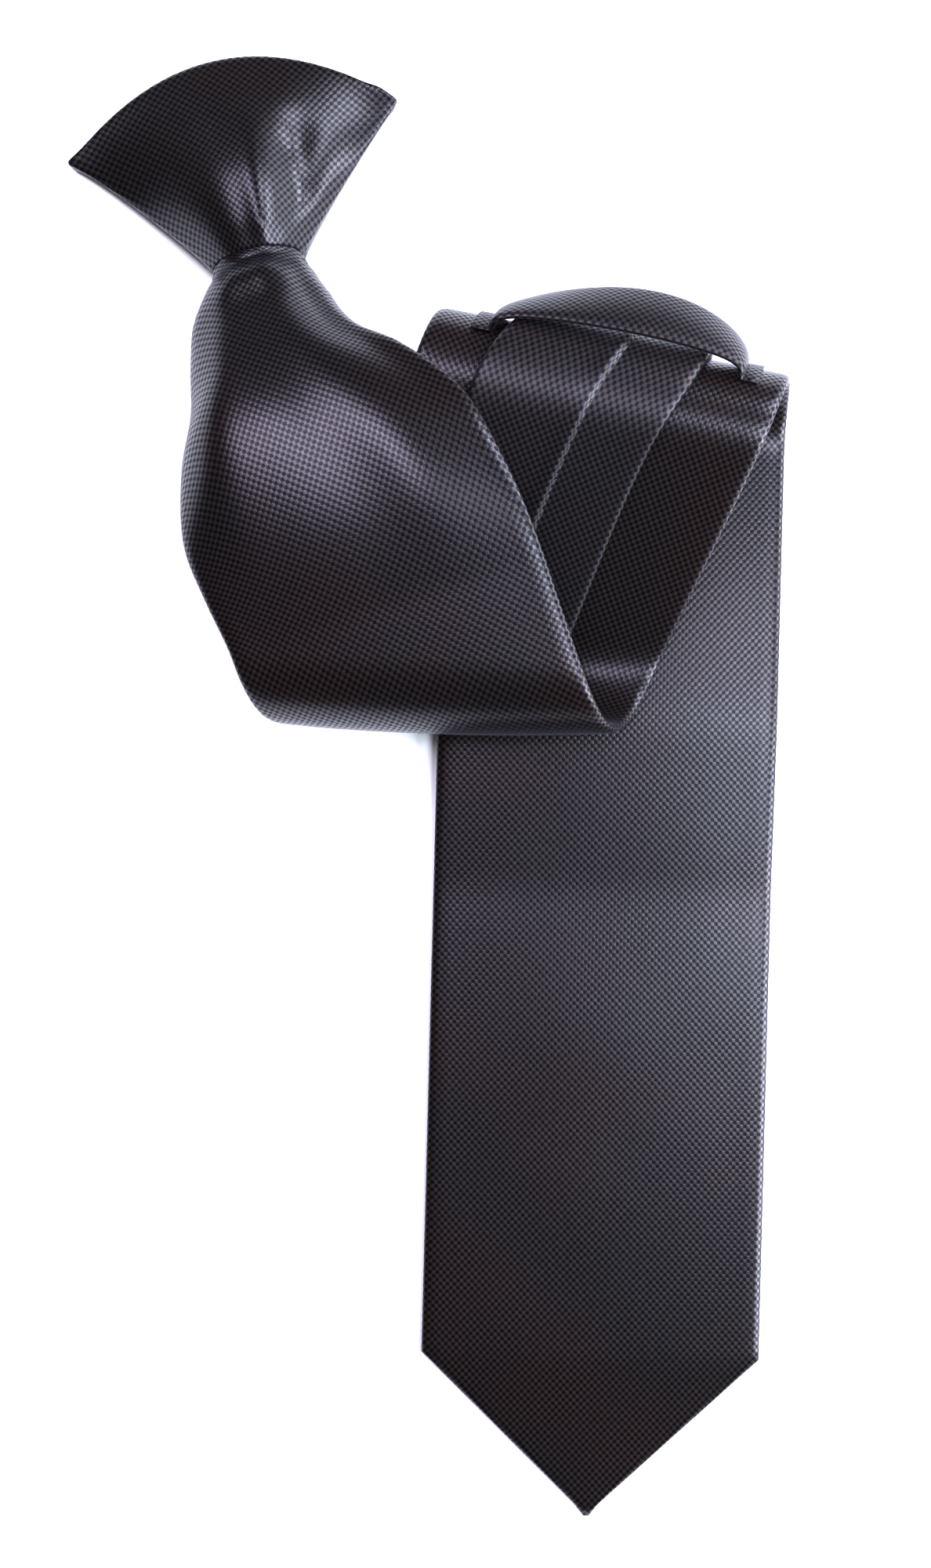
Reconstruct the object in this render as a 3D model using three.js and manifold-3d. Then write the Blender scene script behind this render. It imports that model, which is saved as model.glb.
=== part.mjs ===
// A clip-on tie lying on a table, folded in three: millimetres, +Z up, tip toward -Y.
// The blade lies face up, turns back over itself at a top fold, returns at a bottom fold
// and comes up to the knot.
import * as THREE from "three";
import { mergeVertices } from "three/addons/utils/BufferGeometryUtils.js";
import Module from "manifold-3d";

// Blade: an envelope of cloth round an interlining
const bladeWidth = 82.5;
const bladeThickness = 2.4;
const edgeBevel = 0.4;
const edgeFace = 0.35;
const tipDepth = 39;
const tipShare = 0.02;
const layHeading = 1.5;

// Lengths along the middle of the blade, and from the folds straight to the knot
const lowerLength = 266;
const middleLength = 57.5;
const frontReach = 91;
const neckInsert = 12;
const neckApproach = 4;
const neckDive = 0.4;
const curveHandle = 0.42;

// Folds: radius to the middle of the cloth, degrees turned, and degrees that the fold line is off square
const topFoldRadius = 14.5;
const topFoldTurn = 204;
const topFoldSkew = -9.5;
const bottomFoldRadius = 14.5;
const bottomFoldTurn = 195;
const bottomFoldSkew = -19.5;
const rollDepth = 6;
const rollStart = 0.6;
const liftHeight = 7;
const frontCreaseDepth = 2.2;

// Tail: the narrow strip along the blade's back
const tailWidth = 43;
const tailThickness = 2;
const tailLap = 0.5;
const tailSeamOffset = 4.5;
const tailDrift = 7;
const tailSlack = 2;
const tailMouthShare = 0.88;
const tailLength = 315;
const tailTipDepth = 20;
const layGap = 0.4;

// Rise of the blade off the table, over the end of the tail
const riseRadius = 120;
const riseTurn = 4;
const riseMargin = 22;

// Keeper: the cloth loop on the blade's back at the top fold
const keeperWidth = 15;
const keeperThickness = 1.4;
const keeperSpan = 57.5;
const keeperShift = 0.9;
const keeperArch = 11.3;
const keeperLean = 1.3;
const keeperBulge = 0.5;
const keeperAngle = 130;
const keeperTab = 5;

// Knot: a hollow form of cloth, open at its back and at its mouth
const knotWidth = 81;
const knotLength = 49.5;
const knotWingLine = 34;
const knotNeckWidth = 23.4;
const knotNeckHeight = 20;
const knotWall = 2.2;
const knotFlare = 1.12;
const wingFilling = 0.3;
const knotCreaseDepth = 3;
const knotTurn = 7.6;
const knotSwing = -2.9;
const mouthClearance = 0.6;
const wingEdge = 4;

// Clip: one strip of sprung metal bent back on itself
const clipWidth = 14;
const clipLength = 27;
const clipThickness = 0.9;
const clipGap = 4.9;
const clipTooth = 0.8;
const clipNotch = 5;
const clipLift = 0.4;
const seatGap = 0.35;

const degrees = Math.PI / 180;
const bladeHalf = bladeWidth / 2;
const up = new THREE.Vector3(0, 0, 1);

const wasm = await Module();
wasm.setup();

// Cylindrical folds, in order from the tip. A positive turn goes to the face side of the cloth.
const riseHeight = layGap + tailThickness + tailLap;
const riseArc = riseRadius * riseTurn * degrees;
const riseArcHeight = 2 * riseRadius * (1 - Math.cos(riseTurn * degrees));
const riseStraight = (riseHeight - riseArcHeight) / Math.sin(riseTurn * degrees);
const topFoldRun = topFoldRadius * topFoldTurn * degrees / Math.cos(topFoldSkew * degrees);
const bottomFoldStart = lowerLength + topFoldRun + middleLength;
const bottomFoldRun = bottomFoldRadius * bottomFoldTurn * degrees / Math.cos(bottomFoldSkew * degrees);
const foldsEnd = bottomFoldStart + bottomFoldRun + bladeHalf * Math.tan(Math.abs(bottomFoldSkew) * degrees);

function foldTable(riseEnd) {
  const levelAt = riseEnd - riseArc;
  const riseAt = levelAt - riseStraight - riseArc;
  return [
    { at: riseAt, radius: riseRadius, turn: riseTurn, skew: 0 },
    { at: levelAt, radius: riseRadius, turn: -riseTurn, skew: 0 },
    { at: lowerLength, radius: topFoldRadius, turn: topFoldTurn, skew: topFoldSkew },
    { at: bottomFoldStart, radius: bottomFoldRadius, turn: -bottomFoldTurn, skew: bottomFoldSkew },
  ];
}

// Distance of a place on the flat cloth past a fold's first line, square to that line.
function pastFold(x, y, fold) {
  const skew = fold.skew * degrees;
  return (y - fold.at) * Math.cos(skew) - x * Math.sin(skew);
}

// Carries a point round one fold. What lies beyond the whole fold turns with its end.
function bend(point, fold, beyond) {
  const skew = fold.skew * degrees;
  const turn = fold.turn * degrees;
  const radius = fold.radius * Math.sign(turn);
  const length = radius * turn;
  const d = pastFold(point.x, point.y, fold);
  const q = point.x * Math.cos(skew) + (point.y - fold.at) * Math.sin(skew);
  const curved = beyond ? length : Math.min(d, length);
  const angle = curved / radius;
  const out = (radius - point.z) * Math.sin(angle) + (d - curved) * Math.cos(angle);
  const height = radius - (radius - point.z) * Math.cos(angle) + (d - curved) * Math.sin(angle);
  const x = q * Math.cos(skew) - out * Math.sin(skew);
  const y = fold.at + q * Math.sin(skew) + out * Math.cos(skew);
  return new THREE.Vector3(x, y, height);
}

function foldedPoint(folds, across, along, height) {
  let point = new THREE.Vector3(across, along, height);
  let beyond = false;
  for (const fold of [...folds].reverse()) {
    if (beyond || pastFold(across, along, fold) > 0) {
      point = bend(point, fold, beyond);
      beyond = true;
    }
  }
  point.applyAxisAngle(up, -layHeading * degrees);
  point.z += bladeThickness / 2;
  return point;
}

// Value of one column at a place in a table, on a smooth curve through its rows.
function tableValue(rows, column, x) {
  const last = rows.length - 1;
  let i = 0;
  while (i < last - 1 && x > rows[i + 1].along) {
    i += 1;
  }
  const a = rows[Math.max(i - 1, 0)];
  const b = rows[i];
  const c = rows[i + 1];
  const d = rows[Math.min(i + 2, last)];
  const span = c.along - b.along;
  const t = THREE.MathUtils.clamp((x - b.along) / span, 0, 1);
  const slopeB = (c[column] - a[column]) / (c.along - a.along) * span;
  const slopeC = (d[column] - b[column]) / (d.along - b.along) * span;
  const t2 = t * t;
  const t3 = t2 * t;
  const ends = (2 * t3 - 3 * t2 + 1) * b[column] + (3 * t2 - 2 * t3) * c[column];
  return ends + (t3 - 2 * t2 + t) * slopeB + (t3 - t2) * slopeC;
}

// 1 in the middle, fading to 0 over a share of the run at its start and another at its end.
function fadeEnds(t, start, end) {
  return Math.min(1, t / start, (1 - t) / end);
}

// Soft ridges and dents: each runs from one place to another. Its height is a share of the deepest crease.
function creaseHeight(creases, x, y) {
  let height = 0;
  for (const crease of creases) {
    const dx = crease.toX - crease.fromX;
    const dy = crease.toY - crease.fromY;
    const t = ((x - crease.fromX) * dx + (y - crease.fromY) * dy) / (dx * dx + dy * dy);
    const near = THREE.MathUtils.clamp(t, 0, 1);
    const offX = x - crease.fromX - near * dx;
    const offY = y - crease.fromY - near * dy;
    height += crease.height * Math.exp(-(offX * offX + offY * offY) / (crease.breadth * crease.breadth));
  }
  return height;
}

// Closed skin through rings of points. A ring lists its upper points left to right, then its lower ones back.
function loft(rings) {
  const count = rings[0].length;
  const half = count / 2;
  const positions = rings.flat().flatMap((p) => [p.x, p.y, p.z]);
  const faces = [];
  for (let i = 0; i + 1 < rings.length; i += 1) {
    for (let j = 0; j < count; j += 1) {
      const a = i * count + j;
      const b = i * count + (j + 1) % count;
      faces.push(a, b, b + count, a, b + count, a + count);
    }
  }
  const end = (rings.length - 1) * count;
  for (let j = 0; j + 1 < half; j += 1) {
    const a = j;
    const b = j + 1;
    const c = count - 2 - j;
    const d = count - 1 - j;
    faces.push(a, d, c, a, c, b);
    faces.push(end + a, end + b, end + c, end + a, end + c, end + d);
  }
  const geometry = new THREE.BufferGeometry();
  geometry.setAttribute("position", new THREE.Float32BufferAttribute(positions, 3));
  geometry.setIndex(faces);
  geometry.computeVertexNormals();
  return geometry;
}

function toSolid(geometry) {
  const bare = geometry.clone();
  bare.deleteAttribute("normal");
  bare.deleteAttribute("uv");
  const merged = mergeVertices(bare);
  const vertProperties = new Float32Array(merged.attributes.position.array);
  const triVerts = new Uint32Array(merged.index.array);
  return new wasm.Manifold(new wasm.Mesh({ numProp: 3, vertProperties, triVerts }));
}

function fromSolid(solid) {
  const mesh = solid.getMesh();
  const geometry = new THREE.BufferGeometry();
  geometry.setAttribute("position", new THREE.Float32BufferAttribute(mesh.vertProperties, 3));
  geometry.setIndex(Array.from(mesh.triVerts));
  geometry.computeVertexNormals();
  return geometry;
}

// Knot. Places on it are shares: u from -1 at the left edge to 1, v from 0 at the mouth to 1 at the top edge.
const neckHalf = knotNeckWidth / 2;
const topEdgeHeight = clipLift + 2 * clipThickness + clipGap + seatGap + knotWall;
const knotProfile = [
  { along: 0, centre: 1, side: 0.5, power: 2.5 },
  { along: 0.2, centre: 1.08, side: 0.4, power: 2.3 },
  { along: 0.45, centre: 1.04, side: 0.3, power: 2 },
  { along: 0.7, centre: 0.84, side: 0.24, power: 1.9 },
  { along: 0.88, centre: 0.64, side: 0.2, power: 1.9 },
  { along: 1, centre: topEdgeHeight / knotNeckHeight, side: wingEdge / knotNeckHeight, power: 2 },
];
const knotCreases = [
  { name: "ridge", fromX: 0.3, fromY: 0.1, toX: 0.05, toY: 0.8, height: 0.5, breadth: 0.22 },
  { name: "dent", fromX: 0.72, fromY: 0.22, toX: 0.55, toY: 0.6, height: -1, breadth: 0.17 },
  { name: "right ridge", fromX: 0.84, fromY: 0.62, toX: 0.86, toY: 0.9, height: 0.6, breadth: 0.14 },
  { name: "left fold", fromX: -0.5, fromY: 0.25, toX: -0.75, toY: 0.85, height: 0.4, breadth: 0.16 },
];

const knotFade = { mouth: 0.25, top: 0.125, side: 0.2 };

function knotPlan(u, v) {
  const half = neckHalf + (knotWidth / 2 - neckHalf) * Math.pow(v, knotFlare);
  const rise = (knotLength - knotWingLine) * (1 - u * u) * v * v;
  return { x: u * half, y: knotWingLine * v + rise };
}

function knotHeight(u, v) {
  const centre = tableValue(knotProfile, "centre", v) * knotNeckHeight;
  const side = tableValue(knotProfile, "side", v) * knotNeckHeight;
  const round = 1 - Math.pow(Math.abs(u), tableValue(knotProfile, "power", v));
  const fade = fadeEnds(v, knotFade.mouth, knotFade.top) * Math.min(1, (1 - Math.abs(u)) / knotFade.side);
  return side + (centre - side) * round + knotCreaseDepth * creaseHeight(knotCreases, u, v) * fade;
}

// Ceiling inside the knot's mouth at a distance from its middle, and what of it the blade's end fills.
function mouthCeiling(x) {
  return knotHeight(x / neckHalf, 0) - knotWall;
}

const mouthHalf = neckHalf - knotWall - mouthClearance;
const mouthCrown = mouthCeiling(0) - mouthCeiling(mouthHalf);
const stripLevel = mouthCeiling(mouthHalf) - mouthClearance - bladeThickness / 2;

// Surface of the blade: the folds, then a free curve to the knot, because the cloth is gathered there.
function bladeSurface() {
  const draft = foldTable(lowerLength);
  const origin = foldedPoint(draft, 0, foldsEnd, 0);
  const ahead = foldedPoint(draft, 0, foldsEnd + 1, 0).sub(origin);
  const side = foldedPoint(draft, 1, foldsEnd, 0).sub(origin);
  const heading = Math.atan2(ahead.x, ahead.y) / degrees;
  const reach = new THREE.Vector3(0, frontReach, 0).applyAxisAngle(up, -(heading + knotSwing) * degrees);
  const neck = origin.clone().add(reach).setZ(0);
  const neckHeading = -(heading + knotTurn) * degrees;
  const axis = new THREE.Vector3(0, 1, 0).applyAxisAngle(up, neckHeading);
  const right = new THREE.Vector3(1, 0, 0).applyAxisAngle(up, neckHeading);
  const mouth = neck.clone().addScaledVector(axis, -neckApproach).setZ(stripLevel);
  const handle = frontReach * curveHandle;
  const dive = axis.clone().setZ(-neckDive).normalize();
  const startHandle = origin.clone().addScaledVector(ahead, handle);
  const endHandle = mouth.clone().addScaledVector(dive, -handle);
  const curve = new THREE.CubicBezierCurve3(origin, startHandle, endHandle, mouth);
  const frontLength = curve.getLength();
  const neckAt = foldsEnd + frontLength;
  const stripEnd = neckAt + neckApproach + neckInsert;
  const tailEnd = neckAt - tailLength;
  const folds = foldTable(tailEnd - riseMargin);

  function point(across, along, height) {
    if (along <= foldsEnd) {
      return foldedPoint(folds, across, along, height);
    }
    const t = Math.min((along - foldsEnd) / frontLength, 1);
    const over = Math.max(along - neckAt, 0);
    const place = curve.getPointAt(t).addScaledVector(axis, over);
    const tangent = curve.getTangentAt(t).lerp(axis, Math.min(1, over / neckApproach)).normalize();
    const beside = side.clone().lerp(right, t * t * (3 - 2 * t));
    beside.addScaledVector(tangent, -beside.dot(tangent)).normalize();
    const normal = beside.clone().cross(tangent);
    return place.addScaledVector(beside, across).addScaledVector(normal, height);
  }

  return { point, neck, neckHeading, neckAt, frontLength, stripEnd, tailEnd, folds };
}

const surface = bladeSurface();

// Half widths of the front stretch: 0 fits the mouth of the knot and 1 is the full half width.
// Crown is a share of the crown in the mouth, and roll a share of the depth that the left edge rolls under.
const frontSections = [
  { along: 0, left: 0.92, right: 0.84, crown: 0, roll: 0, lift: 0, tail: 1 },
  { along: 0.2, left: 0.95, right: 0.82, crown: 0.25, roll: 0.1, lift: 0.2, tail: 1 },
  { along: 0.38, left: 0.92, right: 0.76, crown: 0.5, roll: 0.5, lift: 0.7, tail: 0.9 },
  { along: 0.57, left: 0.71, right: 0.52, crown: 0.9, roll: 1, lift: 1, tail: 0.5 },
  { along: 0.69, left: 0.49, right: 0.32, crown: 1.15, roll: 0.8, lift: 0.8, tail: 0.35 },
  { along: 0.81, left: 0.37, right: 0.24, crown: 1.3, roll: 0.4, lift: 0.3, tail: 0.2 },
  { along: 0.91, left: 0.26, right: 0.18, crown: 1.25, roll: 0.1, lift: 0, tail: 0.1 },
  { along: 1, left: 0, right: 0, crown: 1, roll: 0, lift: 0, tail: 0 },
];
const frontCreases = [
  { name: "ridge", fromX: 0.05, fromY: 0.95, toX: 0.45, toY: 0.35, height: 0.9, breadth: 0.22 },
  { name: "valley", fromX: 0.6, fromY: 0.92, toX: 0.85, toY: 0.5, height: -1, breadth: 0.16 },
  { name: "left ridge", fromX: -0.45, fromY: 0.9, toX: -0.6, toY: 0.55, height: 0.65, breadth: 0.18 },
];
const frontFade = { fold: 0.17, neck: 0.1 };

function frontShare(along) {
  return THREE.MathUtils.clamp((along - foldsEnd) / surface.frontLength, 0, 1);
}

// The blade keeps its full width to the top fold and then tapers to the front stretch.
function bladeHalfWidth(along, side) {
  if (along < tipDepth) {
    return bladeHalf * Math.max(along / tipDepth, tipShare);
  }
  if (along >= foldsEnd) {
    return mouthHalf + (bladeHalf - mouthHalf) * tableValue(frontSections, side, frontShare(along));
  }
  const taper = THREE.MathUtils.smoothstep(along, lowerLength, foldsEnd);
  const last = mouthHalf + (bladeHalf - mouthHalf) * frontSections[0][side];
  return bladeHalf + (last - bladeHalf) * taper;
}

function bladeRelief(share, along) {
  const t = frontShare(along);
  const arch = (mouthCeiling(share * mouthHalf) - mouthCeiling(mouthHalf)) / mouthCrown;
  const crown = tableValue(frontSections, "crown", t) * mouthCrown * arch;
  const edge = Math.max(0, (-share - rollStart) / (1 - rollStart));
  const roll = tableValue(frontSections, "roll", t) * rollDepth * edge * edge;
  const rightPart = Math.max(0, share);
  const lift = tableValue(frontSections, "lift", t) * liftHeight * rightPart * rightPart;
  const fade = fadeEnds(t, frontFade.fold, frontFade.neck);
  return crown - roll + lift + frontCreaseDepth * creaseHeight(frontCreases, share, t) * fade;
}

// Rows of the strips: places along the middle line, each with the skew of its line across the cloth.
function foldRows(start, run, skew, steps) {
  const rows = [];
  for (let i = 0; i <= steps; i += 1) {
    rows.push({ along: start + run * i / steps, skew });
  }
  return rows;
}

function stripRows() {
  const [rise, level] = surface.folds;
  const rows = foldRows(0, tipDepth, 0, 3);
  rows.push({ along: (tipDepth + rise.at) / 2, skew: 0 });
  rows.push(...foldRows(rise.at, riseArc, 0, 2), ...foldRows(level.at, riseArc, 0, 2));
  rows.push({ along: surface.tailEnd, skew: topFoldSkew / 3 });
  rows.push({ along: surface.tailEnd + tailTipDepth, skew: topFoldSkew * 2 / 3 });
  rows.push(...foldRows(lowerLength, topFoldRun, topFoldSkew, 17));
  rows.push({ along: bottomFoldStart - middleLength / 2, skew: (topFoldSkew + bottomFoldSkew) / 2 });
  rows.push(...foldRows(bottomFoldStart, bottomFoldRun, bottomFoldSkew, 16));
  const frontSteps = 16;
  for (let i = 0; i <= frontSteps; i += 1) {
    const share = i / frontSteps;
    const skew = bottomFoldSkew * (1 - THREE.MathUtils.smoothstep(share, 0, 0.5));
    rows.push({ along: foldsEnd + share * surface.frontLength, skew });
  }
  rows.push({ along: surface.neckAt + neckApproach, skew: 0 });
  rows.push({ along: surface.stripEnd, skew: 0 });
  return rows;
}

// One ring of a strip. The columns are shares of the half width, and settle on the row's slanted line.
function stripRing(row, columns, place) {
  const tan = Math.tan(row.skew * degrees);
  const points = columns.map((column) => {
    let spot = place(column, row.along);
    for (let i = 0; i < 3; i += 1) {
      spot = place(column, row.along + spot.across * tan);
    }
    return surface.point(spot.across, row.along + spot.across * tan, spot.height);
  });
  return points;
}

function evenShares(count) {
  return Array.from({ length: count }, (_, i) => 2 * i / (count - 1) - 1);
}

// Upper columns left to right and lower columns back, with the two edges at half thickness.
function ringColumns(shares) {
  const upper = shares.map((share) => ({ share, face: 1 }));
  const lower = shares.map((share) => ({ share, face: -1 })).reverse();
  return [
    { share: -1, face: edgeFace },
    ...upper,
    { share: 1, face: edgeFace },
    { share: 1, face: -edgeFace },
    ...lower,
    { share: -1, face: -edgeFace },
  ];
}

// The faces of a strip stop a bevel short of its edges.
function insetShare(column, half, thickness) {
  const bevel = edgeBevel * Math.min(thickness, half);
  return Math.abs(column.face) === 1 ? column.share * (half - bevel) / half : column.share;
}

function bladePlace(column, along) {
  const half = bladeHalfWidth(along, column.share < 0 ? "left" : "right");
  const share = insetShare(column, half, bladeThickness);
  const height = column.face * bladeThickness / 2 + bladeRelief(share, along);
  return { across: share * half, height };
}

function bladeGeometry() {
  const columns = ringColumns(evenShares(11));
  return loft(stripRows().map((row) => stripRing(row, columns, bladePlace)));
}

// Tail: its middle wanders a little beside the blade's, and it hangs free of the blade at the folds.
// Drift and slack are shares of the furthest that it does so.
const tailRoute = [
  { along: surface.tailEnd, drift: -0.3, slack: 0 },
  { along: lowerLength, drift: 0, slack: 0 },
  { along: lowerLength + topFoldRun * 0.6, drift: 0.05, slack: 0.5 },
  { along: lowerLength + topFoldRun, drift: -0.7, slack: 0.4 },
  { along: bottomFoldStart, drift: -0.85, slack: 0.2 },
  { along: bottomFoldStart + bottomFoldRun / 2, drift: -1, slack: 1 },
  { along: foldsEnd, drift: -0.85, slack: 0.4 },
  { along: foldsEnd + surface.frontLength / 2, drift: -0.43, slack: 0.25 },
  { along: surface.neckAt, drift: 0, slack: 0 },
  { along: surface.stripEnd, drift: 0, slack: 0 },
];
const tailMouthHalf = mouthHalf * tailMouthShare;

function tailHalfWidth(along) {
  const share = tableValue(frontSections, "tail", frontShare(along));
  const half = tailMouthHalf + (tailWidth / 2 - tailMouthHalf) * share;
  return half * THREE.MathUtils.clamp((along - surface.tailEnd) / tailTipDepth, 2 * tipShare, 1);
}

function tailPlace(column, along) {
  const half = tailHalfWidth(along);
  const x = insetShare(column, half, tailThickness) * half;
  const shift = tailDrift * tableValue(tailRoute, "drift", along);
  const slack = tailSlack * tableValue(tailRoute, "slack", along);
  const drop = (bladeThickness + tailThickness) / 2 + layGap + slack;
  const seam = tailSeamOffset * half * 2 / tailWidth;
  const lapped = column.face === -1 && x < seam ? tailLap * (x + half) / (seam + half) : 0;
  return { across: shift + x, height: column.face * tailThickness / 2 - drop - lapped };
}

function tailGeometry() {
  const seamShare = tailSeamOffset * 2 / tailWidth;
  const shares = [-1, -0.65, -0.3, 0, seamShare - 0.04, seamShare + 0.01, 0.6, 1];
  const columns = ringColumns(shares);
  const rows = stripRows().filter((row) => row.along > surface.tailEnd - 1);
  return loft(rows.map((row) => stripRing(row, columns, tailPlace)));
}

// Keeper: a band across the blade's back, flat at its sewn ends and standing out between them.
function keeperPath(t) {
  const x = keeperShift + (t - 0.5) * keeperSpan;
  const turn = Math.PI * Math.pow(THREE.MathUtils.clamp(t, 0, 1), keeperLean);
  const arch = Math.pow(Math.max(0, Math.sin(turn)), keeperBulge);
  return new THREE.Vector2(x, seatGap + keeperArch * arch);
}

function keeperGeometry() {
  const steps = 24;
  const tab = keeperTab / keeperSpan;
  const places = [-tab, -tab / 2];
  for (let i = 0; i <= steps; i += 1) {
    places.push((1 - Math.cos(Math.PI * i / steps)) / 2);
  }
  places.push(1 + tab / 2, 1 + tab);
  const centre = lowerLength + topFoldRun * keeperAngle / topFoldTurn;
  const tan = Math.tan(topFoldSkew * degrees);
  const bands = evenShares(7).reverse();
  const rings = places.map((t) => {
    const step = 0.004;
    const here = keeperPath(t);
    const slope = keeperPath(t + step).sub(keeperPath(t - step)).normalize();
    const normal = new THREE.Vector2(-slope.y, slope.x).multiplyScalar(keeperThickness);
    const face = (place, shares) => shares.map((b) => {
      const lift = bladeThickness / 2 + place.y;
      const band = b * keeperWidth / 2 * topFoldRadius / (topFoldRadius + lift);
      return surface.point(place.x, centre + place.x * tan + band, -lift);
    });
    return [...face(here, bands), ...face(here.clone().add(normal), [...bands].reverse())];
  });
  return loft(rings);
}

function knotRing(v, shares, lift, floor, back) {
  const upper = shares.map((u) => {
    const plan = knotPlan(u, v);
    return new THREE.Vector3(plan.x, plan.y - back, knotHeight(u, v) + lift);
  });
  const lower = shares.map((u) => {
    const plan = knotPlan(u, v);
    return new THREE.Vector3(plan.x, plan.y - back, floor);
  });
  return [...upper, ...lower.reverse()];
}

// The cavity's half width is a share of the outline's. Folded cloth fills the wings toward the top edge.
function cavityShare(v) {
  const plan = knotPlan(1, v);
  const wall = (plan.x - knotWall) / plan.x;
  return wall * (1 - wingFilling * v * v);
}

function knotGeometry() {
  const columns = [-1, -0.96, -0.85, -0.7, -0.52, -0.35, -0.17, 0, 0.17, 0.35, 0.52, 0.7, 0.85, 0.96, 1];
  const rows = [0, 0.04, 0.12, 0.22, 0.34, 0.46, 0.58, 0.7, 0.8, 0.89, 0.96, 1];
  const body = loft(rows.map((v) => knotRing(v, columns, 0, 0, 0)));
  const inner = 1 - knotWall / knotLength;
  const cavityRows = [0, 0.12, 0.24, 0.36, 0.5, 0.62, 0.74, 0.84, 0.93, 1].map((share) => share * inner);
  const cavityColumns = evenShares(11);
  const hollow = cavityRows.map((v) => {
    return knotRing(v, cavityColumns.map((u) => u * cavityShare(v)), -knotWall, -1, 0);
  });
  hollow.unshift(knotRing(0, cavityColumns.map((u) => u * cavityShare(0)), -knotWall, -1, 1));
  return fromSolid(toSolid(body).subtract(toSolid(loft(hollow))));
}

// Clip: its bend stands at the knot's top wall. Its legs run toward the mouth with the collar gap between.
function clipGeometry() {
  const height = 2 * clipThickness + clipGap;
  const outer = height / 2;
  const profile = new THREE.Shape();
  profile.moveTo(0, 0);
  profile.lineTo(clipLength - outer, 0);
  profile.absarc(clipLength - outer, outer, outer, -Math.PI / 2, Math.PI / 2, false);
  profile.lineTo(clipThickness, height);
  profile.lineTo(clipThickness, height - clipThickness);
  profile.lineTo(clipLength - outer, height - clipThickness);
  profile.absarc(clipLength - outer, outer, outer - clipThickness, Math.PI / 2, -Math.PI / 2, true);
  profile.lineTo(2 * clipThickness, clipThickness);
  profile.lineTo(clipThickness, clipThickness + clipTooth);
  profile.lineTo(0, clipThickness + clipTooth);
  profile.closePath();
  const options = { depth: clipWidth, bevelEnabled: false, curveSegments: 10 };
  const strip = new THREE.ExtrudeGeometry(profile, options);
  const notch = new THREE.BoxGeometry(2 * clipNotch, 2 * (clipThickness + clipTooth) + 1, clipNotch);
  notch.translate(0, 0, clipWidth / 2);
  return fromSolid(toSolid(strip).subtract(toSolid(notch)));
}

const tie = new THREE.Group();

function addPiece(parent, name, geometry, finish) {
  const piece = new THREE.Mesh(geometry, new THREE.MeshStandardMaterial(finish));
  piece.name = name;
  parent.add(piece);
  return piece;
}

const cloth = { color: 0x3b3c42, roughness: 0.62, metalness: 0 };
const darkCloth = { color: 0x303137, roughness: 0.7, metalness: 0 };
const nickel = { color: 0xb9bcc0, roughness: 0.28, metalness: 0.95 };

addPiece(tie, "blade", bladeGeometry(), cloth);
addPiece(tie, "tail", tailGeometry(), cloth);
addPiece(tie, "keeper", keeperGeometry(), darkCloth);

const knotFrame = new THREE.Group();
knotFrame.position.copy(surface.neck);
knotFrame.rotation.z = surface.neckHeading;
tie.add(knotFrame);
addPiece(knotFrame, "knot", knotGeometry(), cloth);

const clip = addPiece(knotFrame, "clip", clipGeometry(), nickel);
clip.rotation.set(Math.PI / 2, Math.PI / 2, 0);
const topWall = 1 - knotWall / knotLength;
const clipSeat = knotPlan(clipWidth / 2 / knotPlan(1, topWall).x, topWall);
clip.position.set(-clipWidth / 2, clipSeat.y - seatGap - clipLength, clipLift);

const part = new THREE.Group();
part.add(tie);
const box = new THREE.Box3().setFromObject(part, true);
tie.position.set(-(box.min.x + box.max.x) / 2, -(box.min.y + box.max.y) / 2, -box.min.z);

export default part;
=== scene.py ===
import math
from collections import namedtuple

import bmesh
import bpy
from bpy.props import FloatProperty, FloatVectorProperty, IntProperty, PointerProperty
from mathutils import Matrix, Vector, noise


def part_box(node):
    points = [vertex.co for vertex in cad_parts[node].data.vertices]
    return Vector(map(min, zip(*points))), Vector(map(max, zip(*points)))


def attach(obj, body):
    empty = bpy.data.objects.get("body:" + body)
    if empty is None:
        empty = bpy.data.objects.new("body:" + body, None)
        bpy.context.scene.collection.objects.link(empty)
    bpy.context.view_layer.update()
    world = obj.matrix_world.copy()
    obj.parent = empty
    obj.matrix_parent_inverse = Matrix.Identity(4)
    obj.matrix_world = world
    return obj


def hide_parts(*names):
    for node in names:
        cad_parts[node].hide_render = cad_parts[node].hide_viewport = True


bl_info = {
    "name": "Clip-on Tie",
    "version": (1, 0, 0),
    "blender": (4, 5, 0),
    "location": "View3D > Sidebar > Clip-on Tie",
    "description": "A dark woven clip-on tie, folded in three on a pale table, round its packed frame",
    "category": "Object",
}

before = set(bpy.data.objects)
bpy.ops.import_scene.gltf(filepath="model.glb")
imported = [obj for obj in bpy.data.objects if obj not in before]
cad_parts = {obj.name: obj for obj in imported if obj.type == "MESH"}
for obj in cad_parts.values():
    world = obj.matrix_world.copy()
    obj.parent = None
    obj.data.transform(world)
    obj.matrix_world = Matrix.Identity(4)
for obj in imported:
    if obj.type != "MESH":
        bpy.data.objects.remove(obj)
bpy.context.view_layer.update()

MM = 0.001
UV_NAME = "Cloth"

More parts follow.
